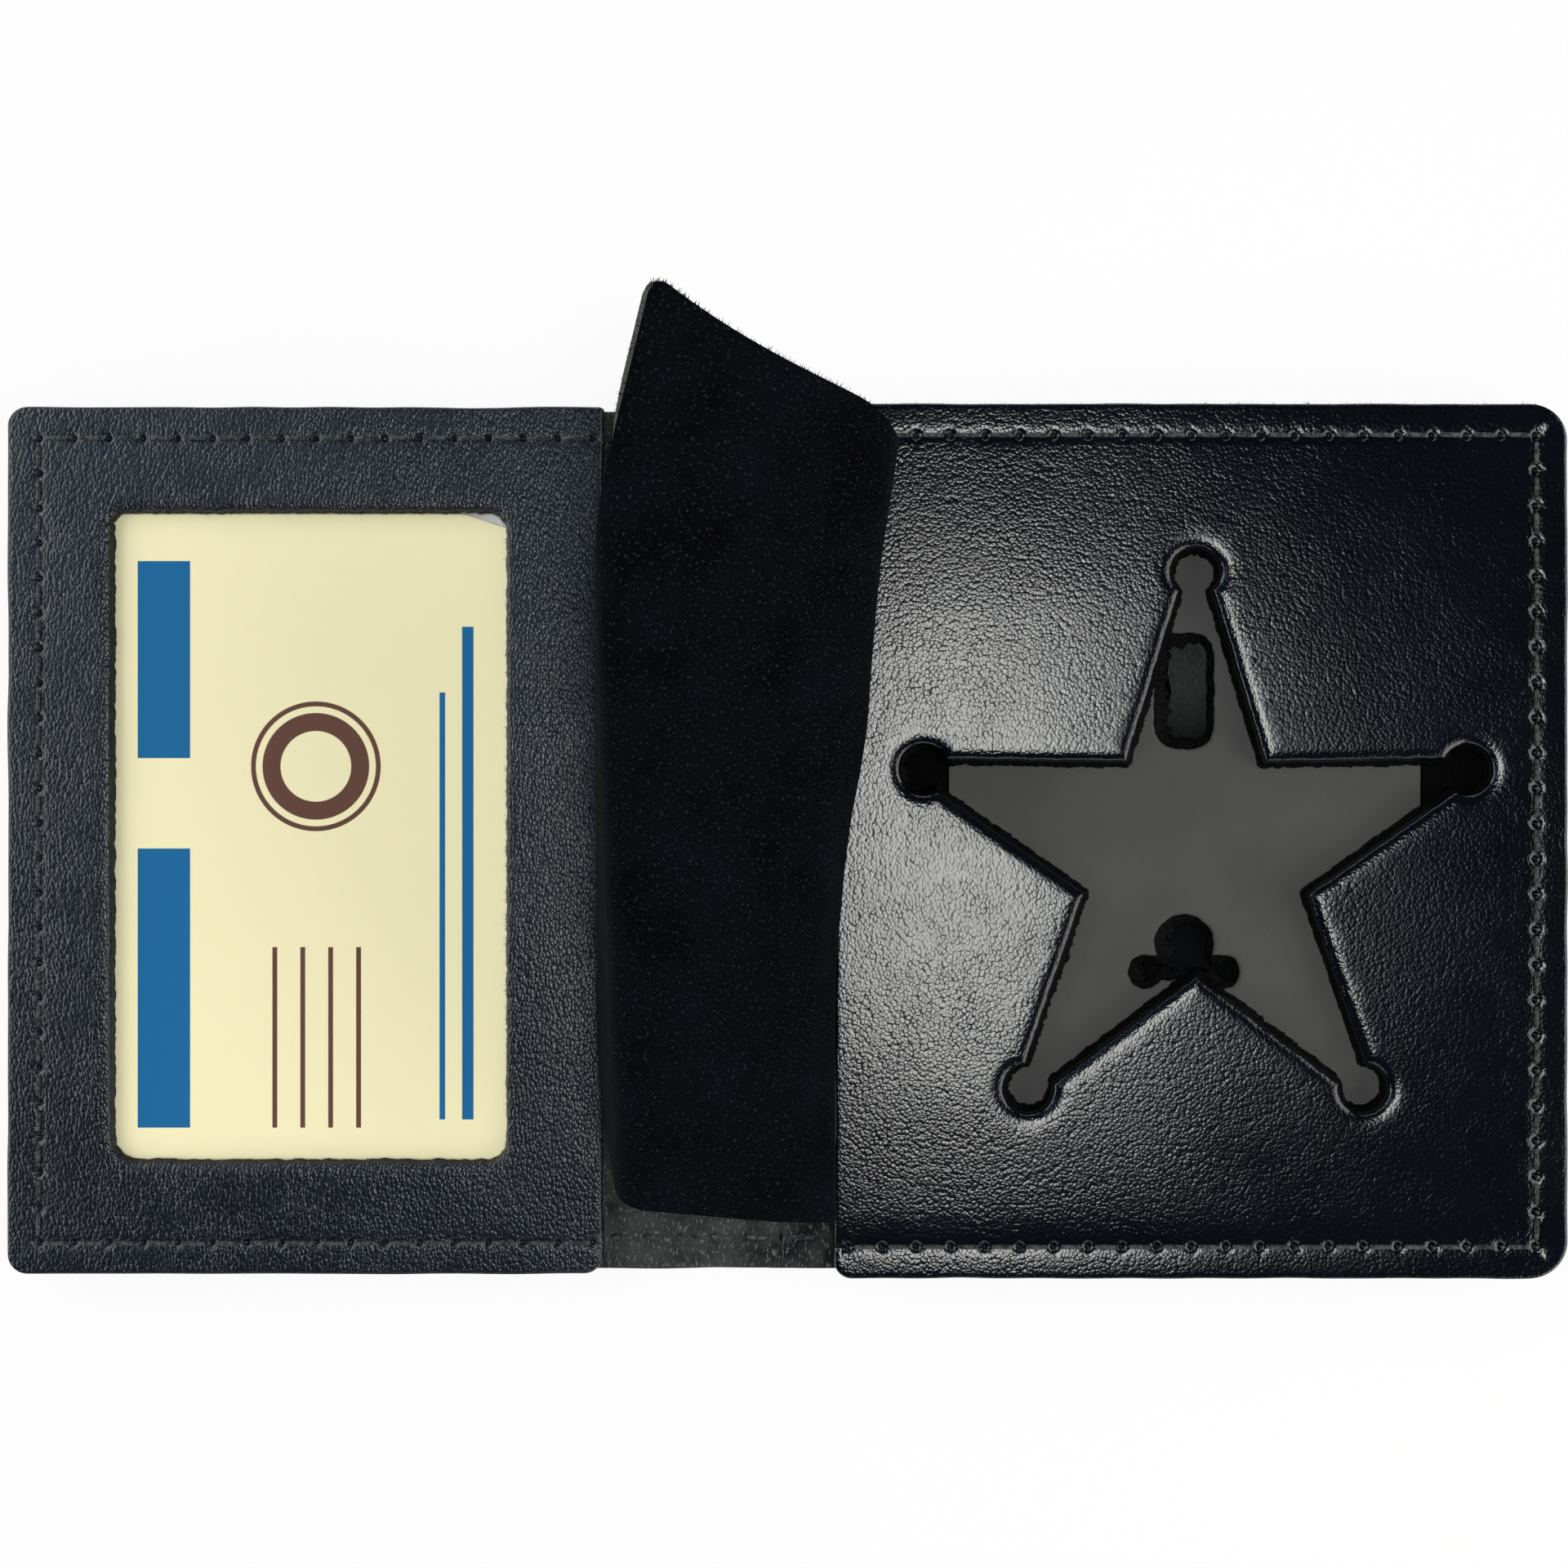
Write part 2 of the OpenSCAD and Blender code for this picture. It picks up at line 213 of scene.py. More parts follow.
def distance(points, path, closed=True):
    """Distance of each point from a path."""
    starts, ends = path, np.roll(path, -1, axis=0)
    if not closed:
        starts, ends = starts[:-1], ends[:-1]
    best = np.full(len(points), 1e9)
    for a, b in zip(starts, ends):
        way = b - a
        share = np.clip((points - a) @ way / (way @ way), 0, 1)
        gap = points - a - share[:, None] * way
        best = np.minimum(best, np.einsum("ij,ij->i", gap, gap))
    return np.sqrt(best)


def nearest(points, paths, closed=True):
    """Distance of each point from the nearest of these paths."""
    return np.min([distance(points, path, closed) for path in paths], axis=0)


def noise_at(points, size, seed):
    return np.array([noise.noise(Vector((p[0] / size, p[1] / size, seed))) for p in points])


# Stitch lines: points in rows beside the line and in rings round its needle holes
ROW_STEP = 0.5
ROW_SIDES = (-1.3, -0.85, -0.5, -0.22, 0.0, 0.22, 0.5, 0.85, 1.3)
HOLE_SIDES = 8
HOLE_RINGS = ((0.16, 0), (0.32, 22.5), (0.52, 0))
HOLE_CLEAR = 0.62
# Depth and width of the thread's channel, of a needle hole, and of the layers' fall along a seam
CHANNEL_DEPTH, CHANNEL_W = 0.08, 0.6
HOLE_DEPTH, HOLE_W = 0.75, 0.45
SETTLE_DEPTH, SETTLE_W = 0.16, 2.1


class Line:
    """A stitch line from one point to another, with its needle holes."""

    def __init__(self, start, end):
        self.start, self.end = np.array(start, float), np.array(end, float)
        self.path = np.array((self.start, self.end))
        way = self.end - self.start
        length = np.linalg.norm(way)
        self.way = way / length
        self.side = np.array((-self.way[1], self.way[0]))
        self.count = max(1, round(length / STITCH_PITCH))
        self.pitch = length / self.count
        self.holes = self.start + np.outer(np.arange(self.count + 1) * self.pitch, self.way)

    def rows(self):
        """Points close enough together to press a channel and holes into the leather."""
        steps = np.arange(0, self.count * self.pitch + ROW_STEP / 2, ROW_STEP)
        points = np.vstack([self.start + np.outer(steps, self.way) + side * self.side
                            for side in ROW_SIDES])
        rings = [hole + radius * spoke(360 * i / HOLE_SIDES + turn)
                 for hole in self.holes for radius, turn in HOLE_RINGS for i in range(HOLE_SIDES)]
        return np.vstack((points[hole_gap(points, [self]) > HOLE_CLEAR], self.holes, rings))


def hole_gap(points, lines):
    """Distance of each point from the nearest needle hole."""
    return np.min([np.linalg.norm(points - hole, axis=1) for line in lines for hole in line.holes], axis=0)


def line_gap(points, lines):
    """Distance of each point from the nearest stitch line."""
    return nearest(points, [line.path for line in lines], False)


def dent(gap, depth, width):
    """Depth of a soft dent of this depth and width at a distance from its middle."""
    return depth * np.exp(-(gap / width) ** 2)


def pressed(points, lines):
    """How far the thread has pulled the leather down at each point."""
    return np.maximum(dent(line_gap(points, lines), CHANNEL_DEPTH, CHANNEL_W),
                      dent(hole_gap(points, lines), HOLE_DEPTH, HOLE_W))


# Meshes
def mesh_piece(name, points, faces, materials, face_slots=None, sharp=40):
    """A shaded object from points in millimetres."""
    mesh = bpy.data.meshes.new(name)
    mesh.from_pydata((np.asarray(points) * MM).tolist(), [], faces)
    for material in materials:
        mesh.materials.append(material)
    if face_slots is not None:
        mesh.polygons.foreach_set("material_index", np.asarray(face_slots, np.int32))
    mesh.shade_smooth()
    if sharp:
        mesh.set_sharp_from_angle(angle=math.radians(sharp))
    mesh.validate()
    mesh.update()
    piece = bpy.data.objects.new(name, mesh)
    bpy.context.scene.collection.objects.link(piece)
    return piece


def remember(piece, points):
    """Keeps texture coordinates, in metres, that stay with the leather when it bends."""
    attribute = piece.data.attributes.new("sheet", "FLOAT_VECTOR", "POINT")
    attribute.data.foreach_set("vector", (np.asarray(points) * MM).astype(np.float32).ravel())


# Rows of points along a sheet's rims, and the lattice of points between them
BANDS = (0.1, 0.25, 0.5, 0.9, 1.5)
BAND_REACH = 1.9
LATTICE_STEP = 1.5
# Distance of the lattice and of the rim's rows from a stitch line
LATTICE_CLEAR = ROW_SIDES[-1] + 0.4
BAND_CLEAR = ROW_SIDES[-1] + 0.1


def triangulate(points, edges, keep):
    """Triangles over a flat set of points that keep the given edges."""
    made, _, faces, kept_from, *_ = delaunay_2d_cdt([Vector(p) for p in points], edges, [], 0, 1e-5)
    made = np.array([(p.x, p.y) for p in made])
    faces = np.array([face for face in faces if len(face) == 3])
    middles = made[faces].mean(axis=1)
    faces = faces[keep(middles)]
    a, b, c = (made[faces[:, i]] for i in range(3))
    turn = (b[:, 0] - a[:, 0]) * (c[:, 1] - a[:, 1]) - (b[:, 1] - a[:, 1]) * (c[:, 0] - a[:, 0])
    faces[turn < 0] = faces[turn < 0][:, ::-1]
    return made, faces, kept_from


def rim_edges(faces):
    """Directed edges that only one triangle has."""
    seen = {edge: True for a, b, c in faces.tolist() for edge in ((a, b), (b, c), (c, a))}
    return [edge for edge in seen if edge[::-1] not in seen]


def sheet_plan(outer, holes, lines, more=None, step=LATTICE_STEP):
    """Points and triangles of a flat sheet: close together at its edges and stitch lines."""
    loops = [outer, *holes]

    def within(points):
        kept = inside(points, outer)
        for hole in holes:
            kept &= ~inside(points, hole)
        return kept

    def clear(points, from_rims, from_lines=-1):
        """The points within the sheet that are further than this from its rims and stitch lines."""
        kept = within(points) & (nearest(points, loops) > from_rims)
        if lines:
            kept &= line_gap(points, lines) > from_lines
        return points[kept]

    low, high = outer.min(axis=0), outer.max(axis=0)
    xs = np.arange(low[0], high[0], step)
    ys = np.arange(low[1], high[1], step * math.sqrt(3) / 2)
    lattice = np.array([(x + step / 2 * (row % 2), y) for row, y in enumerate(ys) for x in xs])
    bands = [loop + (-band if loop is outer else band) * outward(loop) for loop in loops for band in BANDS]
    extra = [clear(lattice, BAND_REACH, LATTICE_CLEAR), clear(np.vstack(bands), BANDS[0] * 0.8, BAND_CLEAR)]
    if lines:
        extra.append(clear(np.vstack([line.rows() for line in lines]), BANDS[1]))
    if more is not None:
        extra.append(more[within(more)])
    extra = np.unique(np.round(np.vstack(extra), 3), axis=0)
    edges, start = [], 0
    for loop in loops:
        count = len(loop)
        edges += [(start + i, start + (i + 1) % count) for i in range(count)]
        start += count
    return *triangulate(np.vstack((*loops, extra)), edges, within)[:2], within


# Shares of the way down a cut edge at which it has a ring of points. It reaches furthest from LEAN_FULL
# of the way on, by LEAN_SKEW more where it points right and less where it points left, and varies by
# LEAN_WAVES
LEAN_SHARES = (0.12, 0.35, 0.6, 0.82)
LEAN_FULL, LEAN_SKEW, LEAN_WAVES = 0.8, 0.55, 0.45


def flat_at(height):
    """The same height at all points, for slab."""
    return lambda points: np.full(len(points), height)


def slab(name, plan, top, bottom, materials, fine_bottom=False, lean=None, fuzz=()):
    """A closed sheet from a flat plan. top and bottom give the heights at points of the plan, and
    materials are those of its top, cut edge and bottom. lean gives how far the cut edge has moved
    sideways at a share of its way down, and fuzz holds loose fibres."""
    points, faces, within = plan
    rim = rim_edges(faces)
    upper = np.column_stack((points, top(points)))
    count = len(points)
    ids = sorted({i for edge in rim for i in edge})
    if fine_bottom:
        lower = np.column_stack((points, bottom(points)))
        under = faces[:, ::-1] + count
        below = {i: i + count for i in ids}
    else:
        place = {i: k for k, i in enumerate(ids)}
        rim_places = [(place[a], place[b]) for a, b in rim]
        flat, under, kept_from = triangulate(points[ids], rim_places, within)
        lower = np.column_stack((flat, bottom(flat)))
        under = under[:, ::-1] + count
        below = {}
        for k, sources in enumerate(kept_from):
            for source in sources:
                below[ids[source]] = k + count
    made = [upper, lower]
    levels = [{i: i for i in ids}]
    if lean:
        total = count + len(lower)
        for share in LEAN_SHARES:
            ring = upper[ids] * (1 - share) + lower[[below[i] - count for i in ids]] * share
            ring[:, :2] += lean(points[ids], share)
            made.append(ring)
            levels.append({i: total + k for k, i in enumerate(ids)})
            total += len(ids)
        seats = [below[i] - count for i in ids]
        lower[seats, :2] += lean(points[ids], 1.0)
    levels.append(below)
    walls = [(upper_ids[b], upper_ids[a], lower_ids[a], lower_ids[b])
             for upper_ids, lower_ids in zip(levels, levels[1:]) for a, b in rim]
    all_faces = faces.tolist() + walls + under.tolist()
    slots = [0] * len(faces) + [1] * len(walls) + [2] * len(under)
    for more_points, more_faces in fuzz:
        start = sum(len(part) for part in made)
        all_faces += [tuple(i + start for i in face) for face in more_faces]
        slots += [1] * len(more_faces)
        made.append(more_points)
    return mesh_piece(name, np.vstack(made), all_faces, materials, slots)


def leaning(loops, reach, seed):
    """A cut edge of holes that reaches this far into them lower down, unevenly as torn fibres do."""
    path = np.vstack(loops)
    ways = -np.vstack([outward(loop) for loop in loops])

    def lean(points, share):
        gaps = np.linalg.norm(points[:, None] - path[None], axis=2)
        way = ways[gaps.argmin(axis=1)]
        on_hole = gaps.min(axis=1) < 0.01
        waves = noise_at(points + 7.0 * share, 0.45, seed) + 0.6 * noise_at(points, 1.3, seed + 2)
        grown = ease(share / LEAN_FULL) * (1 + LEAN_WAVES * waves) * on_hole
        return way * (reach * (1 + LEAN_SKEW * way[:, 0]) * grown)[:, None]

    return lean


def ease(t):
    t = np.clip(t, 0, 1)
    return t * t * (3 - 2 * t)


# Thickness of a loose fibre, and how far its way strays from straight
FIBRE_R = 0.045
FIBRE_SPREAD = 0.45


def tufts(roots, ways, lengths, seed):
    """Loose fibres: thin closed spikes, each with three sides."""
    random = np.random.default_rng(seed)
    count = len(roots)
    ways = ways / np.linalg.norm(ways, axis=1)[:, None] + random.normal(0, FIBRE_SPREAD, (count, 3))
    ways /= np.linalg.norm(ways, axis=1)[:, None]
    across = np.cross(ways, random.normal(0, 1, (count, 3)))
    across /= np.linalg.norm(across, axis=1)[:, None]
    up = np.cross(ways, across)
    points = np.empty((count, 4, 3))
    for k in range(3):
        angle = 2 * math.pi * k / 3
        points[:, k] = roots + FIBRE_R * (across * math.cos(angle) + up * math.sin(angle))
    points[:, 3] = roots + ways * lengths[:, None]
    faces = []
    for i in range(0, 4 * count, 4):
        faces += [(i, i + 1, i + 3), (i + 1, i + 2, i + 3), (i + 2, i, i + 3), (i + 2, i + 1, i)]
    return points.reshape(-1, 3), faces


def edge_tufts(loop, sign, low, high, per_mm, longest, seed, keep=None):
    """Fibres that stand out of a sheet's cut edge between two heights. sign is 1 outwards and -1 into
    a hole."""
    random = np.random.default_rng(seed)
    ways = outward(loop) * sign
    after = np.roll(loop, -1, axis=0)
    lengths = np.linalg.norm(after - loop, axis=1)
    number = round(lengths.sum() * per_mm)
    chosen = random.choice(len(loop), number, p=lengths / lengths.sum())
    share = random.random(number)[:, None]
    places = loop[chosen] * (1 - share) + after[chosen] * share
    if keep is not None:
        kept = keep(places)
        places, chosen = places[kept], chosen[kept]
    number = len(places)
    roots = np.column_stack((places - ways[chosen] * FIBRE_R, random.uniform(low, high, number)))
    out = np.column_stack((ways[chosen], np.full(number, 0.1)))
    return tufts(roots, out, longest * random.uniform(0.3, 1.0, number) ** 1.5, seed + 1)


def sunk(gap, depth, reach):
    """Depth of a soft slope that runs down to a cut, at this distance from it."""
    return depth * np.clip(1 - gap / reach, 0, 1) ** 2


def rounded(gap, radius):
    """Depth below the flat of an edge rounded off with this radius, at this distance from it."""
    inner = np.clip(radius - gap, 0, radius)
    return radius - np.sqrt(np.maximum(radius ** 2 - inner ** 2, 0))


# Procedural materials
def add_node(tree, kind, inputs=None, output=0, **settings):
    """Adds a shader node, fills its inputs and returns one of its outputs."""
    node = tree.nodes.new(kind)
    for key, value in settings.items():
        setattr(node, key, value)
    fill_inputs(tree, node, inputs or {})
    return node.outputs[output] if node.outputs else node


def fill_inputs(tree, node, inputs):
    """Sets a node's inputs to numbers and colours, or links them to other nodes' outputs."""
    for key, value in inputs.items():
        if isinstance(value, bpy.types.NodeSocket):
            tree.links.new(value, node.inputs[key])
        else:
            node.inputs[key].default_value = value


class Shader:
    """A node material, built from small steps. Its coordinates are in millimetres."""

    def __init__(self, name, sheet=False, **values):
        self.material = bpy.data.materials.new(name)
        self.material.use_nodes = True
        self.tree = self.material.node_tree
        self.set(**values)
        if sheet:
            vector = self.node("ShaderNodeAttribute", {}, "Vector", attribute_name="sheet")
        else:
            vector = self.node("ShaderNodeTexCoord", {}, "Object")
        self.place = self.scaled(vector, 1 / MM)

    def set(self, **values):
        """Fills inputs of the surface shader, named with _ for a space, and returns the material."""
        values = {name.replace("_", " "): value for name, value in values.items()}
        fill_inputs(self.tree, self.tree.nodes["Principled BSDF"], values)
        return self.material

    def node(self, kind, inputs, output=0, **settings):
        return add_node(self.tree, kind, inputs, output, **settings)

    def math(self, operation, first, second=0.0):
        return self.node("ShaderNodeMath", {0: first, 1: second}, operation=operation)

    def plus(self, first, second):
        return self.math("ADD", first, second)

    def times(self, first, second):
        return self.math("MULTIPLY", first, second)

    def vector(self, operation, first, second):
        return self.node("ShaderNodeVectorMath", {0: first, 1: second}, operation=operation)

    def scaled(self, vector, factor):
        return self.node("ShaderNodeVectorMath", {0: vector, "Scale": factor}, operation="SCALE")

    def pattern(self, kind, size, stretch=(1, 1, 1), place=None, output="Fac", feature=None, **inputs):
        """A noise or cell texture with spots of about this size in millimetres."""
        place = self.vector("DIVIDE", place or self.place, tuple(size * s for s in stretch))
        settings = {"feature": feature} if feature else {}
        return self.node(kind, {"Vector": place, "Scale": 1.0, **inputs}, output, **settings)

    def noise(self, size, detail, rough, stretch=(1, 1, 1)):
        return self.pattern("ShaderNodeTexNoise", size, stretch, Detail=detail, Roughness=rough)

    def cells(self, size, stretch, place, feature):
        return self.pattern("ShaderNodeTexVoronoi", size, stretch, place, "Distance", feature)

    def wander(self, size, amount):
        """The place, pushed about at random by up to half this amount."""
        push = self.vector("SUBTRACT", self.pattern("ShaderNodeTexNoise", size, output="Color"), (0.5,) * 3)
        return self.vector("ADD", self.place, self.scaled(push, amount))

    def spread(self, value, low, high, new_low=0.0, new_high=1.0):
        """The value moved from one range to another and kept within it."""
        return self.node("ShaderNodeMapRange", {"Value": value, "From Min": low, "From Max": high,
                                                "To Min": new_low, "To Max": new_high}, "Result")

    def mix(self, share, first, second):
        return self.node("ShaderNodeMix", {0: share, 6: first, 7: second}, 2, data_type="RGBA")

    def tones(self, value, low, high, dark, light):
        """dark where the value is low, light where it is high."""
        return self.mix(self.spread(value, low, high), dark, light)

    def bump(self, height, depth):
        """Relief of this depth in millimetres."""
        return self.node("ShaderNodeBump", {"Height": height, "Distance": depth * MM}, "Normal")

    def axis(self, index):
        return self.node("ShaderNodeSeparateXYZ", {0: self.place}, index)

    def step_inside(self, axis, middle, half):
        """1 where the place is within half of the middle along an axis, 0 outside."""
        gap = self.math("ABSOLUTE", self.math("SUBTRACT", self.axis(axis), middle))
        return self.spread(gap, half + BAR_SOFT, half - BAR_SOFT)


# Relief of the grain: how round its cells are, the height of its creases, fine grain and slow waves
# as shares of a cell's, and how far its roughness varies
PEBBLE_ROUND = 1.9
CREASE_SHARE, FINE_SHARE, WAVE_SHARE = 0.2, 0.16, 0.2
SHINE_VARIES = 0.015


def grain_leather(name, dark, light, sheet=False, stretch=(1, 1, 1), rough=0.145, cell=0.44, depth=0.0125):
    """Black leather with a fine pebble grain: rounded shiny cells between dull creases."""
    s = Shader(name, sheet, Roughness=rough, Specular_IOR_Level=0.5)
    place = s.wander(0.9, 0.4)
    near = s.cells(cell, stretch, place, "F1")
    pebble = s.math("SUBTRACT", 1.0, s.times(s.times(near, near), PEBBLE_ROUND))
    strength = s.spread(s.noise(5.0, 3.0, 0.6), 0.35, 0.65, 0.8, 1.2)
    fine = s.noise(0.22, 3.0, 0.6, stretch)
    waves = s.noise(2.6, 3.0, 0.55, stretch)
    crease = s.spread(s.cells(cell, stretch, place, "DISTANCE_TO_EDGE"), 0.0, 0.2)
    cells = s.times(s.plus(pebble, s.times(crease, CREASE_SHARE)), strength)
    height = s.plus(cells, s.plus(s.times(fine, FINE_SHARE), s.times(waves, WAVE_SHARE)))
    tone = s.noise(9.0, 3.0, 0.6)
    colour = s.tones(tone, 0.3, 0.7, dark, light)
    cloud = s.spread(s.noise(12.0, 3.0, 0.6), 0.3, 0.7, rough - SHINE_VARIES, rough + SHINE_VARIES)
    shine = s.plus(cloud, s.spread(fine, 0.3, 0.7, -SHINE_VARIES, SHINE_VARIES))
    return s.set(Base_Color=colour, Roughness=shine, Normal=s.bump(height, depth))


# Between these heights on the badge side the pin slot's floor goes from black to its patch
PATCH_RISE = 11.0, 19.0


def suede(name, dark, light, fleck, sheet=False, nap=(1, 1, 1), flecks=0.66, sheen=0.12, covered=None,
          cloud_size=11.0):
    """Flesh side of leather: matte short nap with slow cloudy tones and a few pale fibres. The shell's
    is darker towards covered, as a painted shadow of the flap over the spine, and beyond it, in the pin
    slot, black with a greenish patch."""
    s = Shader(name, sheet, Roughness=0.95, Specular_IOR_Level=0.05, Sheen_Weight=sheen,
               Sheen_Roughness=0.5, Sheen_Tint=(0.55, 0.65, 0.8, 1))
    cloud = s.noise(cloud_size, 3.0, 0.6)
    # Painted shadow: the nap gets darker over the 14 mm before covered, where the standing flap shades the spine
    if covered:
        cloud = s.plus(cloud, s.spread(s.axis(0), covered - 14.0, covered, 0.12, -0.1))
    nap_height = s.noise(0.22, 4.0, 0.7, nap)
    fibres = s.noise(0.4, 2.0, 0.65, nap)
    colour = s.tones(cloud, 0.35, 0.7, dark, light)
    colour = s.mix(s.spread(fibres, flecks, flecks + 0.08), colour, fleck)
    if covered:
        patch = s.mix(fibres, (0.004, 0.0055, 0.005, 1), (0.05, 0.06, 0.055, 1))
        floor = s.mix(s.spread(s.axis(1), *PATCH_RISE), (0.0008, 0.0008, 0.0008, 1), patch)
        colour = s.mix(s.spread(s.axis(0), covered, covered + 0.5), colour, floor)
    height = s.plus(nap_height, s.times(s.noise(1.4, 2.0, 0.5), 0.8))
    return s.set(Base_Color=colour, Normal=s.bump(height, 0.16))


def cut_edge(name, dark, light):
    """Cut edge of leather: packed fibres in thin layers along the sheet."""
    s = Shader(name, Roughness=0.5, Specular_IOR_Level=0.4)
    layers = s.noise(0.5, 3.0, 0.7, (2.5, 2.5, 0.25))
    colour = s.tones(layers, 0.3, 0.7, dark, light)
    return s.set(Base_Color=colour, Normal=s.bump(s.noise(0.35, 3.0, 0.7, (1.6, 1.6, 0.6)), 0.12))


def torn_edge():
    """Edge of the filler leather and the board: black, sealed and a little shiny over torn fibres."""
    s = Shader("sealed_edge", Roughness=0.34, Specular_IOR_Level=0.06)
    lumps = s.noise(0.5, 4.0, 0.65)
    colour = s.tones(lumps, 0.3, 0.7, (0.0008, 0.0008, 0.001, 1), (0.003, 0.003, 0.0035, 1))
    shine = s.spread(s.noise(0.8, 2.0, 0.5), 0.35, 0.65, 0.25, 0.6)
    return s.set(Base_Color=colour, Roughness=shine, Normal=s.bump(lumps, 0.3))


def board_material():
    s = Shader("grey_board", Roughness=0.9, Specular_IOR_Level=0.2)
    speck = s.noise(0.5, 4.0, 0.7)
    cloud = s.noise(12.0, 3.0, 0.5)
    colour = s.tones(cloud, 0.3, 0.7, (0.062, 0.062, 0.060, 1), (0.074, 0.074, 0.071, 1))
    colour = s.mix(s.spread(speck, 0.62, 0.72, 0, 0.5), colour, (0.1, 0.1, 0.097, 1))
    return s.set(Base_Color=colour, Normal=s.bump(speck, 0.02))


def thread_material():
    s = Shader("thread", Roughness=0.6, Specular_IOR_Level=0.25, Sheen_Weight=0.12)
    fibre = s.noise(0.14, 3.0, 0.7)
    strands = s.plus(s.times(fibre, 0.4), s.times(s.noise(0.5, 2.0, 0.5), 0.6))
    colour = s.tones(strands, 0.42, 0.6, (0.003, 0.0035, 0.0045, 1), (0.075, 0.078, 0.085, 1))
    return s.set(Base_Color=colour, Normal=s.bump(fibre, 0.05))


# Painted highlight: the pocket's backing sheet is near white, standing in for the clear film's glare where the
# sheet shows at the window's corner
def glare_sheet_material():
    s = Shader("white_sheet", Roughness=0.7)
    fibre = s.noise(0.6, 4.0, 0.7)
    colour = s.tones(fibre, 0.3, 0.7, (0.82, 0.83, 0.85, 1), (0.9, 0.9, 0.91, 1))
    return s.set(Base_Color=colour, Normal=s.bump(fibre, 0.01))


def film_material():
    """Clear vinyl: see-through, with a thin shine."""
    s = Shader("clear_film", Roughness=0.08, Alpha=0.03, Base_Color=(0.2, 0.22, 0.25, 1))
    return s.set(Normal=s.bump(s.noise(9.0, 2.0, 0.5), 0.05))


INK_BLUE = (0.003, 0.135, 0.34, 1)
INK_BROWN = (0.13, 0.055, 0.035, 1)
# Printed shapes on the card: bars as (middle x, middle y, half width, half height, ink),
# rings as (middle x, middle y, radius, half width), in millimetres, and how soft their edges are
CARD_BARS = (
    (-75.5, -18.0, 3.2, 17.0, INK_BLUE), (-75.5, 22.0, 3.2, 12.0, INK_BLUE),
    (-38.5, -4.0, 0.7, 30.0, INK_BLUE), (-41.6, -8.0, 0.35, 26.0, INK_BLUE),
    *((x, -24.0, 0.3, 11.0, INK_BROWN) for x in (-62.0, -58.6, -55.2, -51.8)))
CARD_RINGS = ((-57.0, 9.0, 7.6, 0.3), (-57.0, 9.0, 5.4, 1.1))
BAR_SOFT = 0.03
RING_SOFT = 0.04


def card_material():
    """Cream card with plain printed bars, rules and a ring in blue and brown."""
    s = Shader("card_plastic", Roughness=0.6, Specular_IOR_Level=0.05)
    paper = s.noise(1.2, 4.0, 0.65)
    colour = s.tones(paper, 0.3, 0.75, (0.97, 0.885, 0.545, 1), (0.98, 0.905, 0.585, 1))
    specks = s.noise(0.35, 2.0, 0.5)
    colour = s.mix(s.spread(specks, 0.74, 0.8, 0, 0.35), colour, (0.5, 0.38, 0.2, 1))
    for x, y, half_x, half_y, ink in CARD_BARS:
        colour = s.mix(s.times(s.step_inside(0, x, half_x), s.step_inside(1, y, half_y)), colour, ink)
    for x, y, radius, half in CARD_RINGS:
        ends = {0: s.vector("MULTIPLY", s.place, (1, 1, 0)), 1: (x, y, 0)}
        away = s.node("ShaderNodeVectorMath", ends, "Value", operation="DISTANCE")
        gap = s.math("ABSOLUTE", s.math("SUBTRACT", away, radius))
        colour = s.mix(s.spread(gap, half + RING_SOFT, half - RING_SOFT), colour, INK_BROWN)
    return s.set(Base_Color=colour, Normal=s.bump(paper, 0.015))


# Colours of the leathers, dark and light
PANEL_TONES = (0.0007, 0.0013, 0.003, 1), (0.0013, 0.0022, 0.0048, 1)
WINDOW_TONES = (0.001, 0.003, 0.0072, 1), (0.0018, 0.005, 0.0115, 1)
SHELL_TONES = (0.0015, 0.002, 0.003, 1), (0.003, 0.0035, 0.006, 1)

black_panel = grain_leather("panel_leather", *PANEL_TONES)
navy_panel = grain_leather("window_leather", *WINDOW_TONES, stretch=(0.85, 1.15, 1), rough=0.29, cell=0.5,
                           depth=0.042)
outer_leather = grain_leather("shell_leather", *SHELL_TONES, sheet=True, rough=0.26)
flap_grain = grain_leather("flap_leather", *SHELL_TONES, sheet=True, rough=0.26)
black_suede = suede("filler_suede", (0.001, 0.001, 0.0012, 1), (0.002, 0.002, 0.0025, 1),
                    (0.01, 0.01, 0.011, 1), sheen=0.02)
# Painted light and shade: both naps are the flesh side of the shell leather. The flap's is darkened to near black
# as painted shade of the flap's own shadow, and the shell's is made lighter grey as painted light where the spine
# is lit
flap_nap_painted_shade = suede("flap_suede", (0.0002, 0.0003, 0.0005, 1), (0.0018, 0.0028, 0.005, 1),
                 (0.018, 0.021, 0.028, 1), sheet=True, sheen=0.01, flecks=0.6)
spine_nap_painted_light_and_shade = suede("shell_suede_painted_light_and_shade", (0.009, 0.0095, 0.010, 1), (0.048, 0.05, 0.05, 1), (0.13, 0.134, 0.134, 1),
                  sheet=True, nap=(0.7, 1.9, 1), flecks=0.58, covered=fold_x + 4, cloud_size=4.0)
raw_edge = cut_edge("cut_edge", (0.0015, 0.0015, 0.002, 1), (0.006, 0.0055, 0.0055, 1))
glossy_edge = torn_edge()
board_grey = board_material()
dark_thread = thread_material()
painted_glare_sheet = glare_sheet_material()
clear_film = film_material()
printed_card = card_material()


# Stitch lines, where the frame's thread lies
def three_sides(inner_x, low, high, reach_x):
    top, bottom = high[1] - THREAD_D / 2, low[1] + THREAD_D / 2
    return [Line((inner_x, top), (reach_x, top)), Line((reach_x, top), (reach_x, bottom)),
            Line((reach_x, bottom), (inner_x, bottom))]


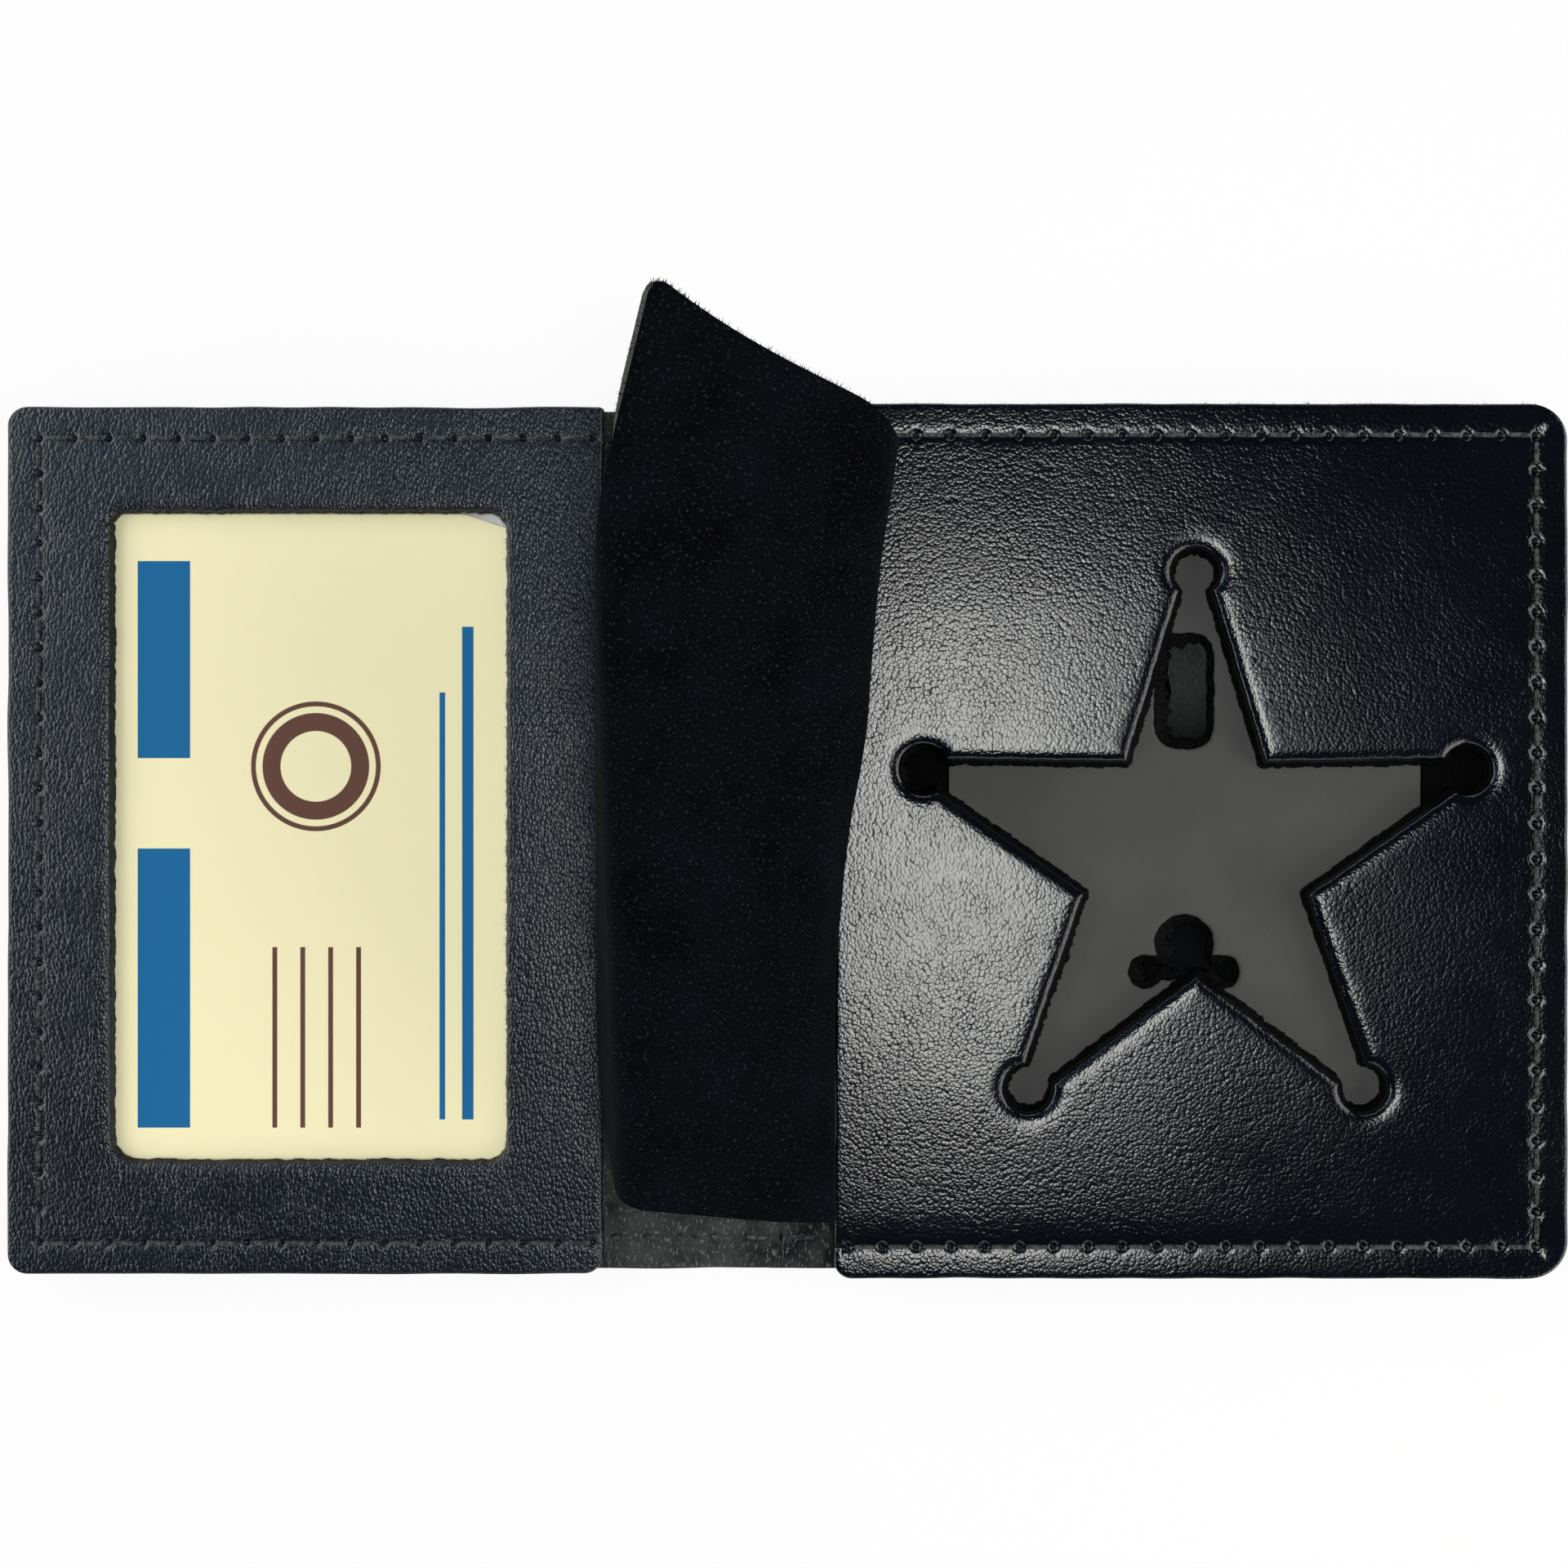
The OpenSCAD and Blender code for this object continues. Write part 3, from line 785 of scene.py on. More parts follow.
badge_line_x = badge_thread_high[0] - THREAD_D / 2
card_line_x = card_thread_low[0] + THREAD_D / 2
face_lines = three_sides(face_low[0] + 1.6, badge_thread_low, badge_thread_high, badge_line_x)
window_lines = three_sides(window_high[0] - 1.2, card_thread_low, card_thread_high, card_line_x)
badge_back_lines = three_sides(spine_x, badge_thread_low, badge_thread_high, badge_line_x)
card_back_lines = three_sides(spine_x, card_thread_low, card_thread_high, card_line_x)


# Badge side
# Radius to which the upper edges of the panels are rounded, and the tab's play in the core
EDGE_R = 0.4
TAB_GAP = 0.15


def badge_outline(low, high):
    """The badge panel's outline in a node's box, rounder at its free corners."""
    return soft_rect(*low[:2], *high[:2], (PANEL_CORNER_R, BADGE_CORNER_R, BADGE_CORNER_R, PANEL_CORNER_R))


def make_badge_face():
    """Face leather: the star's cut edge rolls down, and a channel carries the stitches."""
    outer = ragged(walk(badge_outline(face_low, face_high), 0.8), 0.12, 6.0, 3.1)
    star = ragged(walk(star_loop(), 0.4), 0.1, 1.6, 8.4)

    def top(points):
        rim, cut = distance(points, outer), distance(points, star)
        fall = pressed(points, face_lines) + rounded(rim, EDGE_R)
        fall += dent(line_gap(points, face_lines[2:]), SETTLE_DEPTH, SETTLE_W)
        fall += sunk(cut, 0.45, 1.5) + rounded(cut, 0.35)
        return face_high[2] - fall - 0.1 + 0.1 * noise_at(points, 18.0, 1.0)

    fuzz = edge_tufts(outer, 1, face_low[2] + 0.1, face_high[2] - 0.3, 2.2, 0.5, 41,
                      lambda p: p[:, 1] > face_high[1] - 0.5)
    piece = slab("badge_face_leather", sheet_plan(outer, [star], face_lines), top, flat_at(face_low[2]),
                 (black_panel, raw_edge, black_suede), fuzz=(fuzz,))
    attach(piece, "badge_side")
    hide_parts("badge_face")


def make_core():
    """Filler leather under the face: its star's black edge reaches into the opening all round, and a
    rebate at the spine holds the flap's tab."""
    inner_x, top_y, low_y = tab_high[0] + TAB_GAP, tab_high[1] + TAB_GAP, tab_low[1] - TAB_GAP
    rebate = [(core_low[0], top_y), (inner_x, top_y), (inner_x, low_y), (core_low[0], low_y)]
    outer = np.vstack((badge_outline(core_low, core_high), rebate))
    outer = ragged(walk(outer, 0.8), 0.14, 5.0, 4.4)
    star = ragged(walk(star_loop(), 0.25), 0.12, 0.9, 5.8)

    def top(points):
        return core_high[2] - rounded(distance(points, outer), 0.12)

    piece = slab("filler_leather_layer", sheet_plan(outer, [star], [], step=6.0), top, flat_at(core_low[2]),
                 (black_suede, glossy_edge, black_suede), lean=leaning([star], 0.58, 3.3))
    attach(piece, "badge_side")
    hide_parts("badge_core")


def make_board():
    """Grey board with its pin slot and clover-shaped catch hole, whose edges are worn."""
    mid_x = (board_low[0] + board_high[0]) / 2
    outer = walk(soft_rect(*board_low[:2], *board_high[:2], (SHARP_R,) * 4), 1.5)
    slot_y = star_centre[1] + SLOT_RISE
    half_w, half_h = SLOT_W / 2, SLOT_H / 2
    slot = soft_rect(mid_x - half_w, slot_y - half_h, mid_x + half_w, slot_y + half_h, (SLOT_R,) * 4)
    clover = clover_loop(mid_x, star_centre[1] - CATCH_DROP)
    holes = [ragged(walk(hole, 0.22), 0.16, 0.9, 5.5 + i) for i, hole in enumerate((slot, clover))]

    def top(points):
        height = board_high[2] - rounded(distance(points, outer), 0.15)
        for hole in holes:
            cut = distance(points, hole)
            height -= rounded(cut, 0.25) + sunk(cut, 0.12, 0.9)
        return height

    piece = slab("badge_board_sheet", sheet_plan(outer, holes, [], step=3.0), top, flat_at(board_low[2]),
                 (board_grey, glossy_edge, board_grey), lean=leaning(holes, 1.25, 8.1))
    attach(piece, "badge_side")
    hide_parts("badge_board")


def clover_loop(x, y):
    """Anticlockwise outline of a round middle with a lobe at each side below it."""
    count = 240
    angles = np.linspace(0, 2 * math.pi, count, endpoint=False)
    rays = np.column_stack((np.cos(angles), np.sin(angles)))
    reach = np.zeros(count)
    hub = np.array((0.0, -HUB_DROP))
    for cx, cy, radius in ((0, 0, CATCH_R), (-LOBE_X, -LOBE_DROP, LOBE_R), (LOBE_X, -LOBE_DROP, LOBE_R)):
        off = hub - np.array((cx, cy))
        b = rays @ off
        inner = b * b - off @ off + radius ** 2
        far = np.where(inner > 0, -b + np.sqrt(np.maximum(inner, 0)), 0)
        reach = np.maximum(reach, far)
    floor_gap = (LOBE_DROP + LOBE_R / 2 + hub[1]) / np.maximum(-rays[:, 1], 1e-6)
    link = np.where((rays[:, 1] < 0) & (floor_gap < LOBE_X), floor_gap, 0)
    reach = np.maximum(reach, np.maximum(link, LINK_R))
    return np.array((x, y)) + hub + rays * reach[:, None]


# Card side
# How much lower the strip beside the window lies at the spine than at its crown
STRIP_FALL = 0.3
# The card's upper corner at the spine is worn down by this share over this reach
CORNER_FALL = 0.33
CORNER_REACH = 5.7


def make_window_frame():
    """Face leather with the window, whose cut edge is pressed down on the film."""
    radii = (CARD_CORNER_R, PANEL_CORNER_R, SHARP_R, CARD_CORNER_R)
    outer = ragged(walk(soft_rect(*window_low[:2], *window_high[:2], radii), 0.8), 0.14, 7.0, 2.2)
    x0 = window_low[0] + WINDOW_INSET
    y0 = WINDOW_RISE - WINDOW_H / 2
    hole = soft_rect(x0, y0, x0 + WINDOW_W, y0 + WINDOW_H, WINDOW_RADII)
    hole = ragged(walk(hole, 0.3), 0.16, 0.8, 7.7)

    def top(points):
        rim, cut = distance(points, outer), distance(points, hole)
        fall = pressed(points, window_lines) + rounded(rim, EDGE_R) + sunk(cut, 0.3, 1.4) + rounded(cut, 0.2)
        strip = (points[:, 0] - (x0 + WINDOW_W)) / (window_high[0] - x0 - WINDOW_W)
        fade = ease((WINDOW_H / 2 + 1 - np.abs(points[:, 1] - WINDOW_RISE)) / 6.0) * ease(strip * 5)
        fall += STRIP_FALL * fade * (2 * np.clip(strip, 0, 1) - 0.8) ** 2
        return window_high[2] - fall - 0.1 + 0.1 * noise_at(points, 15.0, 4.0)

    mouth_x = window_high[0] - 0.3
    fuzz = (edge_tufts(hole, -1, window_low[2] + 0.1, window_low[2] + 0.5, 2.5, 0.7, 21),
            edge_tufts(outer, 1, window_low[2] + 0.1, window_high[2] - 0.25, 5.0, 0.55, 23,
                       lambda p: p[:, 0] > mouth_x))
    piece = slab("window_leather_frame", sheet_plan(outer, [hole], window_lines), top, flat_at(window_low[2]),
                 (navy_panel, raw_edge, black_suede), lean=leaning([hole], 0.22, 6.1), fuzz=fuzz)
    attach(piece, "card_side")
    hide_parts("window_frame")


def make_card():
    """The card: a thin plate with rounded corners and softened edges."""
    outer = walk(soft_rect(*card_low[:2], *card_high[:2], (CARD_R,) * 4), 1.0)
    worn = CORNER_FALL * (outer[:, 0] - card_high[0] + CORNER_REACH)
    outer[:, 1] = np.minimum(outer[:, 1], card_high[1] - worn)
    piece = slab("card_sheet", sheet_plan(outer, [], [], step=4.0),
                 lambda p: card_high[2] - rounded(distance(p, outer), 0.12),
                 lambda p: card_low[2] + rounded(distance(p, outer), 0.1), (printed_card,) * 3,
                 fine_bottom=True)
    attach(piece, "id_card")
    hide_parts("id_card")


def make_film():
    """The clear film, not quite flat over the card."""
    outer = walk(soft_rect(*film_low[:2], *film_high[:2], (SHARP_R,) * 4), 1.5)
    sag = 0.04

    def wave(points):
        return sag * (noise_at(points, 12.0, 6.0) - 1)

    piece = slab("window_film_sheet", sheet_plan(outer, [], [], step=2.5),
                 lambda p: film_high[2] + wave(p), lambda p: film_low[2] + sag + wave(p),
                 (clear_film,) * 3, fine_bottom=True)
    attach(piece, "card_side")
    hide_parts("window_film")


# Shell: two sheets that meet in the middle of the spine, each with close rows of points along one fold
# Half width of the band of close points along a fold, and their steps across and along it
FOLD_BAND, FOLD_STEP, FOLD_ALONG = 3.2, 0.4, 1.2
# How much of the thread's pull shows on the shell's outside
BACK_PULL = 0.9


def fold_points(x):
    """Close rows of points along a fold line."""
    xs = np.arange(x - FOLD_BAND, x + FOLD_BAND + FOLD_STEP / 4, FOLD_STEP)
    ys = np.arange(shell_low[1] + 2, shell_high[1] - 1.5, FOLD_ALONG)
    return np.array([(a, b) for a in xs for b in ys])


def make_shell(name, outer, lines, spine_lines, fold, nodes, seed):
    outer = walk(outer, 0.9)
    loose = np.abs(outer[:, 0] - spine_x) > 1.0
    waved = ragged(outer, 0.12, 6.0, seed)
    outer = np.where(loose[:, None], waved, outer)

    def top(points):
        return shell_high[2] - rounded(distance(points, outer), 0.2) - pressed(points, spine_lines)

    def bottom(points):
        return shell_low[2] + BACK_PULL * pressed(points, lines) + rounded(distance(points, outer), 0.35)

    plan = sheet_plan(outer, [], lines, more=fold_points(fold))
    # The shell's inside gets the nap with painted light on the spine and painted shadow towards the badge fold
    piece = slab(name, plan, top, bottom, (spine_nap_painted_light_and_shade, raw_edge, outer_leather), fine_bottom=True)
    remember(piece, [vertex.co / MM for vertex in piece.data.vertices])
    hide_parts(*nodes)
    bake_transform(piece)


def make_shells():
    cut_r = SHARP_R / 10
    badge = soft_rect(spine_x, shell_low[1], *shell_high[:2], (cut_r, BADGE_CORNER_R, BADGE_CORNER_R, cut_r))
    card = soft_rect(*card_shell_low[:2], spine_x, card_shell_high[1],
                     (CARD_CORNER_R, cut_r, cut_r, CARD_CORNER_R))
    make_shell("shell_badge_sheet", badge, badge_back_lines, badge_back_lines[::2],
               fold_x, ("badge_shell", "spine_shell"), 1.4)
    make_shell("shell_card_sheet", card, card_back_lines, card_back_lines[::2],
               card_fold_x, ("card_shell",), 9.6)


# Thread
TWIST_PITCH = 1.5
TUBE_SIDES = 8
TUBE_RINGS = 11
# A stitch lies between these shares of its pitch and dives this deep; its ends are thinner and its two
# plies stand out by a share of its radius
LIE_FROM, LIE_SHARE = 0.15, 0.7
DIVE = 0.5
END_R, PLY = 0.72, 0.16
# How far a thread's middle lies below the channel's floor on a face, on the spine's inside and on the
# back, and how far a stitch arches
FACE_SINK, FLOOR_SINK, BACK_SINK = 0.14, 0.1, 0.24
LIFT, BACK_LIFT = 0.1, 0.02


def stitch(start, end, height, lift, side):
    """One stitch: twisted thread that lies on the leather and dives into a hole at each end.
    side is 1 on a face and -1 on the back."""
    way = end - start
    length = np.linalg.norm(way)
    way = way / length
    across = np.array((-way[1], way[0]))
    points = []
    for i in range(TUBE_RINGS):
        t = i / (TUBE_RINGS - 1)
        rise = lift * math.sin(math.pi * t) ** 0.5 - (DIVE if i in (0, TUBE_RINGS - 1) else 0)
        middle = start + way * length * (LIE_FROM + LIE_SHARE * t)
        z = height + side * rise
        pinch = END_R + (1 - END_R) * math.sin(math.pi * t) ** 0.6
        for k in range(TUBE_SIDES):
            angle = 2 * math.pi * k / TUBE_SIDES
            ply = 1 + PLY * math.cos(2 * (angle - 2 * math.pi * t * length / TWIST_PITCH))
            r = THREAD_D / 2 * pinch * ply
            flat = middle + across * r * math.cos(angle)
            points.append((*flat, z + r * math.sin(angle)))
    faces = []
    for i in range(TUBE_RINGS - 1):
        for k in range(TUBE_SIDES):
            a, b = i * TUBE_SIDES + k, i * TUBE_SIDES + (k + 1) % TUBE_SIDES
            faces.append((a, b, b + TUBE_SIDES, a + TUBE_SIDES))
    faces.append(tuple(range(TUBE_SIDES))[::-1])
    faces.append(tuple((TUBE_RINGS - 1) * TUBE_SIDES + k for k in range(TUBE_SIDES)))
    return points, faces


def make_stitches(name, rows, body, node):
    """All stitches of a body in one piece. rows are (line, height, lift, side)."""
    points, faces = [], []
    for line, height, lift, side in rows:
        for a, b in zip(line.holes, line.holes[1:]):
            lean = 0.05 * line.side
            more_points, more_faces = stitch(a + lean, b - lean, height, lift, side)
            faces += [tuple(i + len(points) for i in face) for face in more_faces]
            points += more_points
    piece = mesh_piece(name, points, faces, (dark_thread,), sharp=None)
    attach(piece, body)
    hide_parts(node)


def make_thread():
    face_z = face_high[2] - CHANNEL_DEPTH - FACE_SINK
    window_z = window_high[2] - CHANNEL_DEPTH - FACE_SINK
    floor_z = shell_high[2] - CHANNEL_DEPTH - FLOOR_SINK
    back_z = shell_low[2] + CHANNEL_DEPTH + BACK_SINK
    top = badge_back_lines[0].start[1]
    spine_rows = [Line((card_fold_x, y), (fold_x, y)) for y in (top, -top)]
    card_floor = [Line((window_high[0], y), (card_fold_x, y)) for y in (top, -top)]
    badge_back, card_back = (
        [Line((x, top), lines[0].end), lines[1], Line(lines[2].start, (x, -top))]
        for x, lines in ((fold_x, badge_back_lines), (card_fold_x, card_back_lines)))

    def rows(lines, height, lift=LIFT, side=1):
        return [(line, height, lift, side) for line in lines]

    def back(lines):
        return rows(lines, back_z, BACK_LIFT, -1)

    make_stitches("badge_thread", rows(face_lines[:2], face_z) + rows(face_lines[2:], face_z - SETTLE_DEPTH)
                  + back(badge_back), "badge_side", "badge_stitching")
    make_stitches("spine_thread", rows(spine_rows, floor_z) + back(spine_rows), "spine", "spine_stitching")
    make_stitches("card_thread", rows(window_lines, window_z) + rows(card_floor, floor_z) + back(card_back),
                  "card_side", "card_side_stitching")


# Flap: u is the distance from the seam and v the height on the flat flap
# Distance over which each crease is rounded, for the first one by v
CREASE_ROUND = (-44.5, -20, 10, 30, 46), (1.6, 2.0, 2.2, 2.6, 3.4)
TIP_ROUND = 3.2
# How far the leather sags to the left at its first crease, by v, and over which distance
HOLLOW = ((-44.5, -30, -15, -3, 3, 8, 13, 20, 30, 38, 47),
          (0.3, 1.6, 2.45, 2.3, 2.0, 1.4, 1.0, 1.05, 0.95, 0.5, 0.0))
HOLLOW_REACH = 7.0
# How much thinner the leather is at its first crease, within which distance, and the shares that its
# grain side and its nap side lose
THINNING, THIN_W = 0.5, 7
GRAIN_SHARE, NAP_SHARE = 0.4, 0.6
# Height of the bottom edge over FLAP_BOTTOM by u, the top edge's droop at the first crease and the lift
# of its corner
BOTTOM_EDGE = (0, 12, 32, 55), (0, 0, 1.2, 1.2)
TOP_DROOP, DROOP_W = 1.6, 3.6
CORNER_LIFT, LIFT_FROM = 1.8, 34
# Points from the bottom to the top edge
ROWS = 110
# The flap is made of three strips that end at these distances from the seam
ROOT_START, FIRST_SPLIT, SECOND_SPLIT = -0.35, 1.35, 27.0
# Fibres of the top, bottom and free edge: number per mm, longest, seed
EDGE_FIBRES = {"top": (11, 0.75, 31), "bottom": (5, 0.5, 33), "free": (5, 0.4, 35)}


def place_of(joint):
    """Where a joint is, in millimetres, and its axis."""
    axis = np.array(joint["axis"], float)
    return np.array(joint["pos_m"]) / MM, axis / np.linalg.norm(axis)


def turned(points, joint, back=True):
    """points turned about a joint by its range, back towards rest or on towards closed."""
    pivot, axis = place_of(joint)
    angle = math.radians(joint["range_deg"][1]) * (-1 if back else 1)
    p = points - pivot
    c, s = math.cos(angle), math.sin(angle)
    return pivot + p * c + np.cross(axis, p) * s + np.outer(p @ axis, axis) * (1 - c)


SEAM, CREASE, TIP = joints["flap_seam"], joints["flap_crease"], joints["flap_tip_crease"]
seam_x, seam_z = SEAM["pos_m"][0] / MM, SEAM["pos_m"][2] / MM


def crease_line(joint, parents):
    """The crease on the flat flap as (distance from the seam at v 0, slope)."""
    pivot, axis = place_of(joint)
    ends = np.array((pivot, pivot + 10 * axis))
    for parent in parents:
        ends = turned(ends, parent, back=False)
    slope = (ends[1][0] - ends[0][0]) / (ends[1][1] - ends[0][1])
    return ends[0][0] - seam_x - slope * ends[0][1], slope


crease_u, crease_slope = crease_line(CREASE, (SEAM,))
tip_u, tip_slope = crease_line(TIP, (CREASE, SEAM))


def leaf(u, v, level):
    """Places of flat flap points on one of its leaves at rest: 0 the base, 1 the middle, 2 the tip."""
    points = np.column_stack((seam_x + u, v, np.full(len(u), seam_z)))
    for joint in (SEAM, CREASE, TIP)[:level + 1]:
        points = turned(points, joint)
    return points


def flap_place(u, v):
    """Where the middle of the flap's leather lies at rest, with its two creases rounded."""
    first, second = crease_u + crease_slope * v, tip_u + tip_slope * v
    places = [leaf(u, v, level) for level in range(3)]
    level = (u > first).astype(int) + (u > second)
    out = np.choose(level[:, None], places)
    for line, r, lower in ((first, np.interp(v, *CREASE_ROUND), 0), (second, TIP_ROUND, 1)):
        near = np.abs(u - line) < r
        t = ((u - line + r) / (2 * r))[:, None]
        a, c = leaf(line - r, v, lower), leaf(line, v, lower)
        b = leaf(line + r, v, lower + 1)
        curve = (1 - t) ** 2 * a + 2 * t * (1 - t) * c + t * t * b
        out = np.where(near[:, None], curve, out)
    hollow = np.interp(v, *HOLLOW) * ease(u / first) * (1 - ease((u - first) / HOLLOW_REACH))
    return out - hollow[:, None] * np.array((1.0, 0.0, 0.0))


def flap_edge(u, top):
    """Height of the flap's top or bottom edge, with a rounded corner at the free edge."""
    radius = FLAP_HIGH_R if top else FLAP_LOW_R
    over = np.clip(u - (FLAP_W - radius), 0, radius)
    inset = radius - np.sqrt(np.maximum(radius ** 2 - over ** 2, 0))
    if not top:
        return FLAP_BOTTOM + inset + np.interp(u, *BOTTOM_EDGE)
    first = crease_u + crease_slope * FLAP_TOP
    droop = dent(u - first, TOP_DROOP, DROOP_W)
    corner = CORNER_LIFT * np.clip((u - LIFT_FROM) / (FLAP_W - LIFT_FROM), 0, 1) ** 2.5
    return FLAP_TOP + FLAP_RISE * u / FLAP_W - inset - droop + corner


def make_flap_part(name, us, materials, bodies, start, end, nodes):
    """A strip of the flap between two distances from the seam, suede on the outside of its bends."""
    vs = np.linspace(0, 1, ROWS)
    u, share = (a.ravel() for a in np.meshgrid(us, vs, indexing="ij"))
    v = flap_edge(u, False) + share * (flap_edge(u, True) - flap_edge(u, False))
    middle = flap_place(u, v)
    du = flap_place(u + 0.05, v) - flap_place(u - 0.05, v)
    dv = flap_place(u, v + 0.05) - flap_place(u, v - 0.05)
    normal = np.cross(du, dv)
    normal /= np.linalg.norm(normal, axis=1)[:, None]
    thin = ease((v + 40) / 15) * ease((42 - v) / 12) * dent(u - crease_u - crease_slope * v, THINNING, THIN_W)
    made = [middle + normal * (FLAP_T / 2 - GRAIN_SHARE * thin)[:, None],
            middle - normal * (FLAP_T / 2 - NAP_SHARE * thin)[:, None]]
    count, columns = len(u), len(us)
    kept = [np.column_stack((u, v, np.full(count, FLAP_T))), np.column_stack((u, v, np.zeros(count)))]

    ids = np.arange(count).reshape(columns, ROWS)
    front = np.stack((ids[:-1, :-1], ids[1:, :-1], ids[1:, 1:], ids[:-1, 1:]), -1).reshape(-1, 4)
    ring = np.concatenate((ids[:-1, 0], ids[-1, :-1], ids[:0:-1, -1], ids[0, :0:-1]))
    after = np.roll(ring, -1)
    walls = np.column_stack((ring, ring + count, after + count, after))
    faces = np.vstack((front, front[:, (0, 3, 2, 1)] + count, walls)).tolist()
    slots = [1] * len(front) + [0] * len(front) + [2] * len(walls)

    edges = {"top": ids[:, -1], "bottom": ids[:, 0], "free": ids[-1]}
    ways = {"top": dv, "bottom": -dv, "free": du}
    for edge, (per_mm, longest, seed) in EDGE_FIBRES.items():
        if us[0] < 0 or edge == "free" and us[-1] < FLAP_W:
            continue
        random = np.random.default_rng(seed + columns)
        where = edges[edge]
        number = round(np.linalg.norm(np.diff(middle[where], axis=0), axis=1).sum() * per_mm)
        at = random.random(number) * (len(where) - 1)
        here, share = where[at.astype(int)], (at % 1)[:, None]
        root = middle[here] * (1 - share) + middle[where[at.astype(int) + 1]] * share
        root += normal[here] * random.uniform(-0.45, 0.45, number)[:, None] * FLAP_T
        lengths = longest * random.uniform(0.25, 1.0, number) ** 1.5
        spikes, spike_faces = tufts(root, ways[edge][here], lengths, seed)
        first = sum(len(part) for part in made)
        faces += [tuple(i + first for i in face) for face in spike_faces]
        slots += [0] * len(spike_faces)
        made.append(spikes)
        kept.append(np.repeat(np.column_stack((u[here], v[here], np.zeros(number))), 4, axis=0))
    piece = mesh_piece(name, np.vstack(made), faces, materials, slots, sharp=50)
    remember(piece, np.vstack(kept))
    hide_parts(*nodes)
    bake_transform(piece)


def bend_ends(joint, line, lower, reach):
    """Two points across a crease, on both sides of its axis, square to it."""
    pivot, axis = place_of(joint)
    one = np.array([0.0])
    a = leaf(np.array([line - 1.0]), one, lower)[0]
    b = leaf(np.array([line + 1.0]), one, lower + 1)[0]
    way = b - a
    way -= (way @ axis) * axis
    way /= np.linalg.norm(way)
    return pivot - reach * way, pivot + reach * way


def make_flap():
    # The flap's nap is darkened to near black as painted shade
    materials = (flap_nap_painted_shade, flap_grain, raw_edge)
    seam_ends = [np.array((seam_x, 0, seam_z + z)) for z in (-0.6, 0.6)]
    make_flap_part("flap_root", np.linspace(ROOT_START, FIRST_SPLIT, 10), materials,
                   ("badge_side", "flap_base"), *seam_ends, ("flap_base",))
    us = np.concatenate((np.linspace(FIRST_SPLIT, 24, 60), np.linspace(24.5, SECOND_SPLIT, 4)))
    make_flap_part("flap_fold", us, materials, ("flap_base", "flap_middle"),
                   *bend_ends(CREASE, crease_u, 0, 1.5), ("flap_middle",))
    us = np.concatenate((np.linspace(SECOND_SPLIT, FLAP_W - 5, 50), np.linspace(FLAP_W - 4.8, FLAP_W, 22)))
    make_flap_part("flap_tip_sheet", us, materials, ("flap_middle", "flap_tip"),
                   *bend_ends(TIP, tip_u, 1, 1.9), ("flap_tip",))


def dress(node, material):
    """Gives a CAD node that stays its finish."""
    materials = frame["nodes"][node].data.materials
    materials.clear()
    materials.append(material)


make_badge_face()
make_core()
make_board()
make_window_frame()
make_card()
make_film()
make_shells()
make_thread()
make_flap()
for node in ("badge_spacer", "pocket_welt", "flap_tab"):
    dress(node, black_suede)
# The backing sheet gets the near-white painted highlight that stands in for the film's glare
dress("pocket_backing", painted_glare_sheet)


# Stage, light and camera
# Share of the floor's own white that the camera sees over its shaded surface, and the floor's half size
FLOOR_WHITE = 0.86
FLOOR_HALF = 3.0
# The camera looks straight down from a hand's height, and the frame is this wide on the table
CAMERA_HEIGHT = 200.0
CAMERA_Y = 6.85
FRAME_W = 193.35
SENSOR_W = 36.0


def show_camera(tree, output, share, unseen, seen):
    """Ends a node tree in a mix of two shaders by the share that the camera's rays get of the second."""
    mix = add_node(tree, "ShaderNodeMixShader", {0: share, 1: unseen, 2: seen})
    tree.links.new(mix, tree.nodes.new(output).inputs["Surface"])


def make_floor():
    mesh = bpy.data.meshes.new("floor")
    corners = [(x * FLOOR_HALF, y * FLOOR_HALF, 0) for x, y in ((-1, -1), (1, -1), (1, 1), (-1, 1))]
    mesh.from_pydata(corners, [], [(0, 1, 2, 3)])
    floor = bpy.data.objects.new("floor", mesh)
    bpy.context.scene.collection.objects.link(floor)
    material = bpy.data.materials.new("floor_white")
    material.use_nodes = True
    tree = material.node_tree
    tree.nodes.clear()
    camera_ray = add_node(tree, "ShaderNodeLightPath", output="Is Camera Ray")
    share = add_node(tree, "ShaderNodeMath", {0: camera_ray, 1: FLOOR_WHITE}, operation="MULTIPLY")
    show_camera(tree, "ShaderNodeOutputMaterial", share,
                add_node(tree, "ShaderNodeBsdfDiffuse", {"Color": (0.85, 0.85, 0.85, 1)}),
                add_node(tree, "ShaderNodeEmission", {"Color": (1, 1, 1, 1)}))
    mesh.materials.append(material)


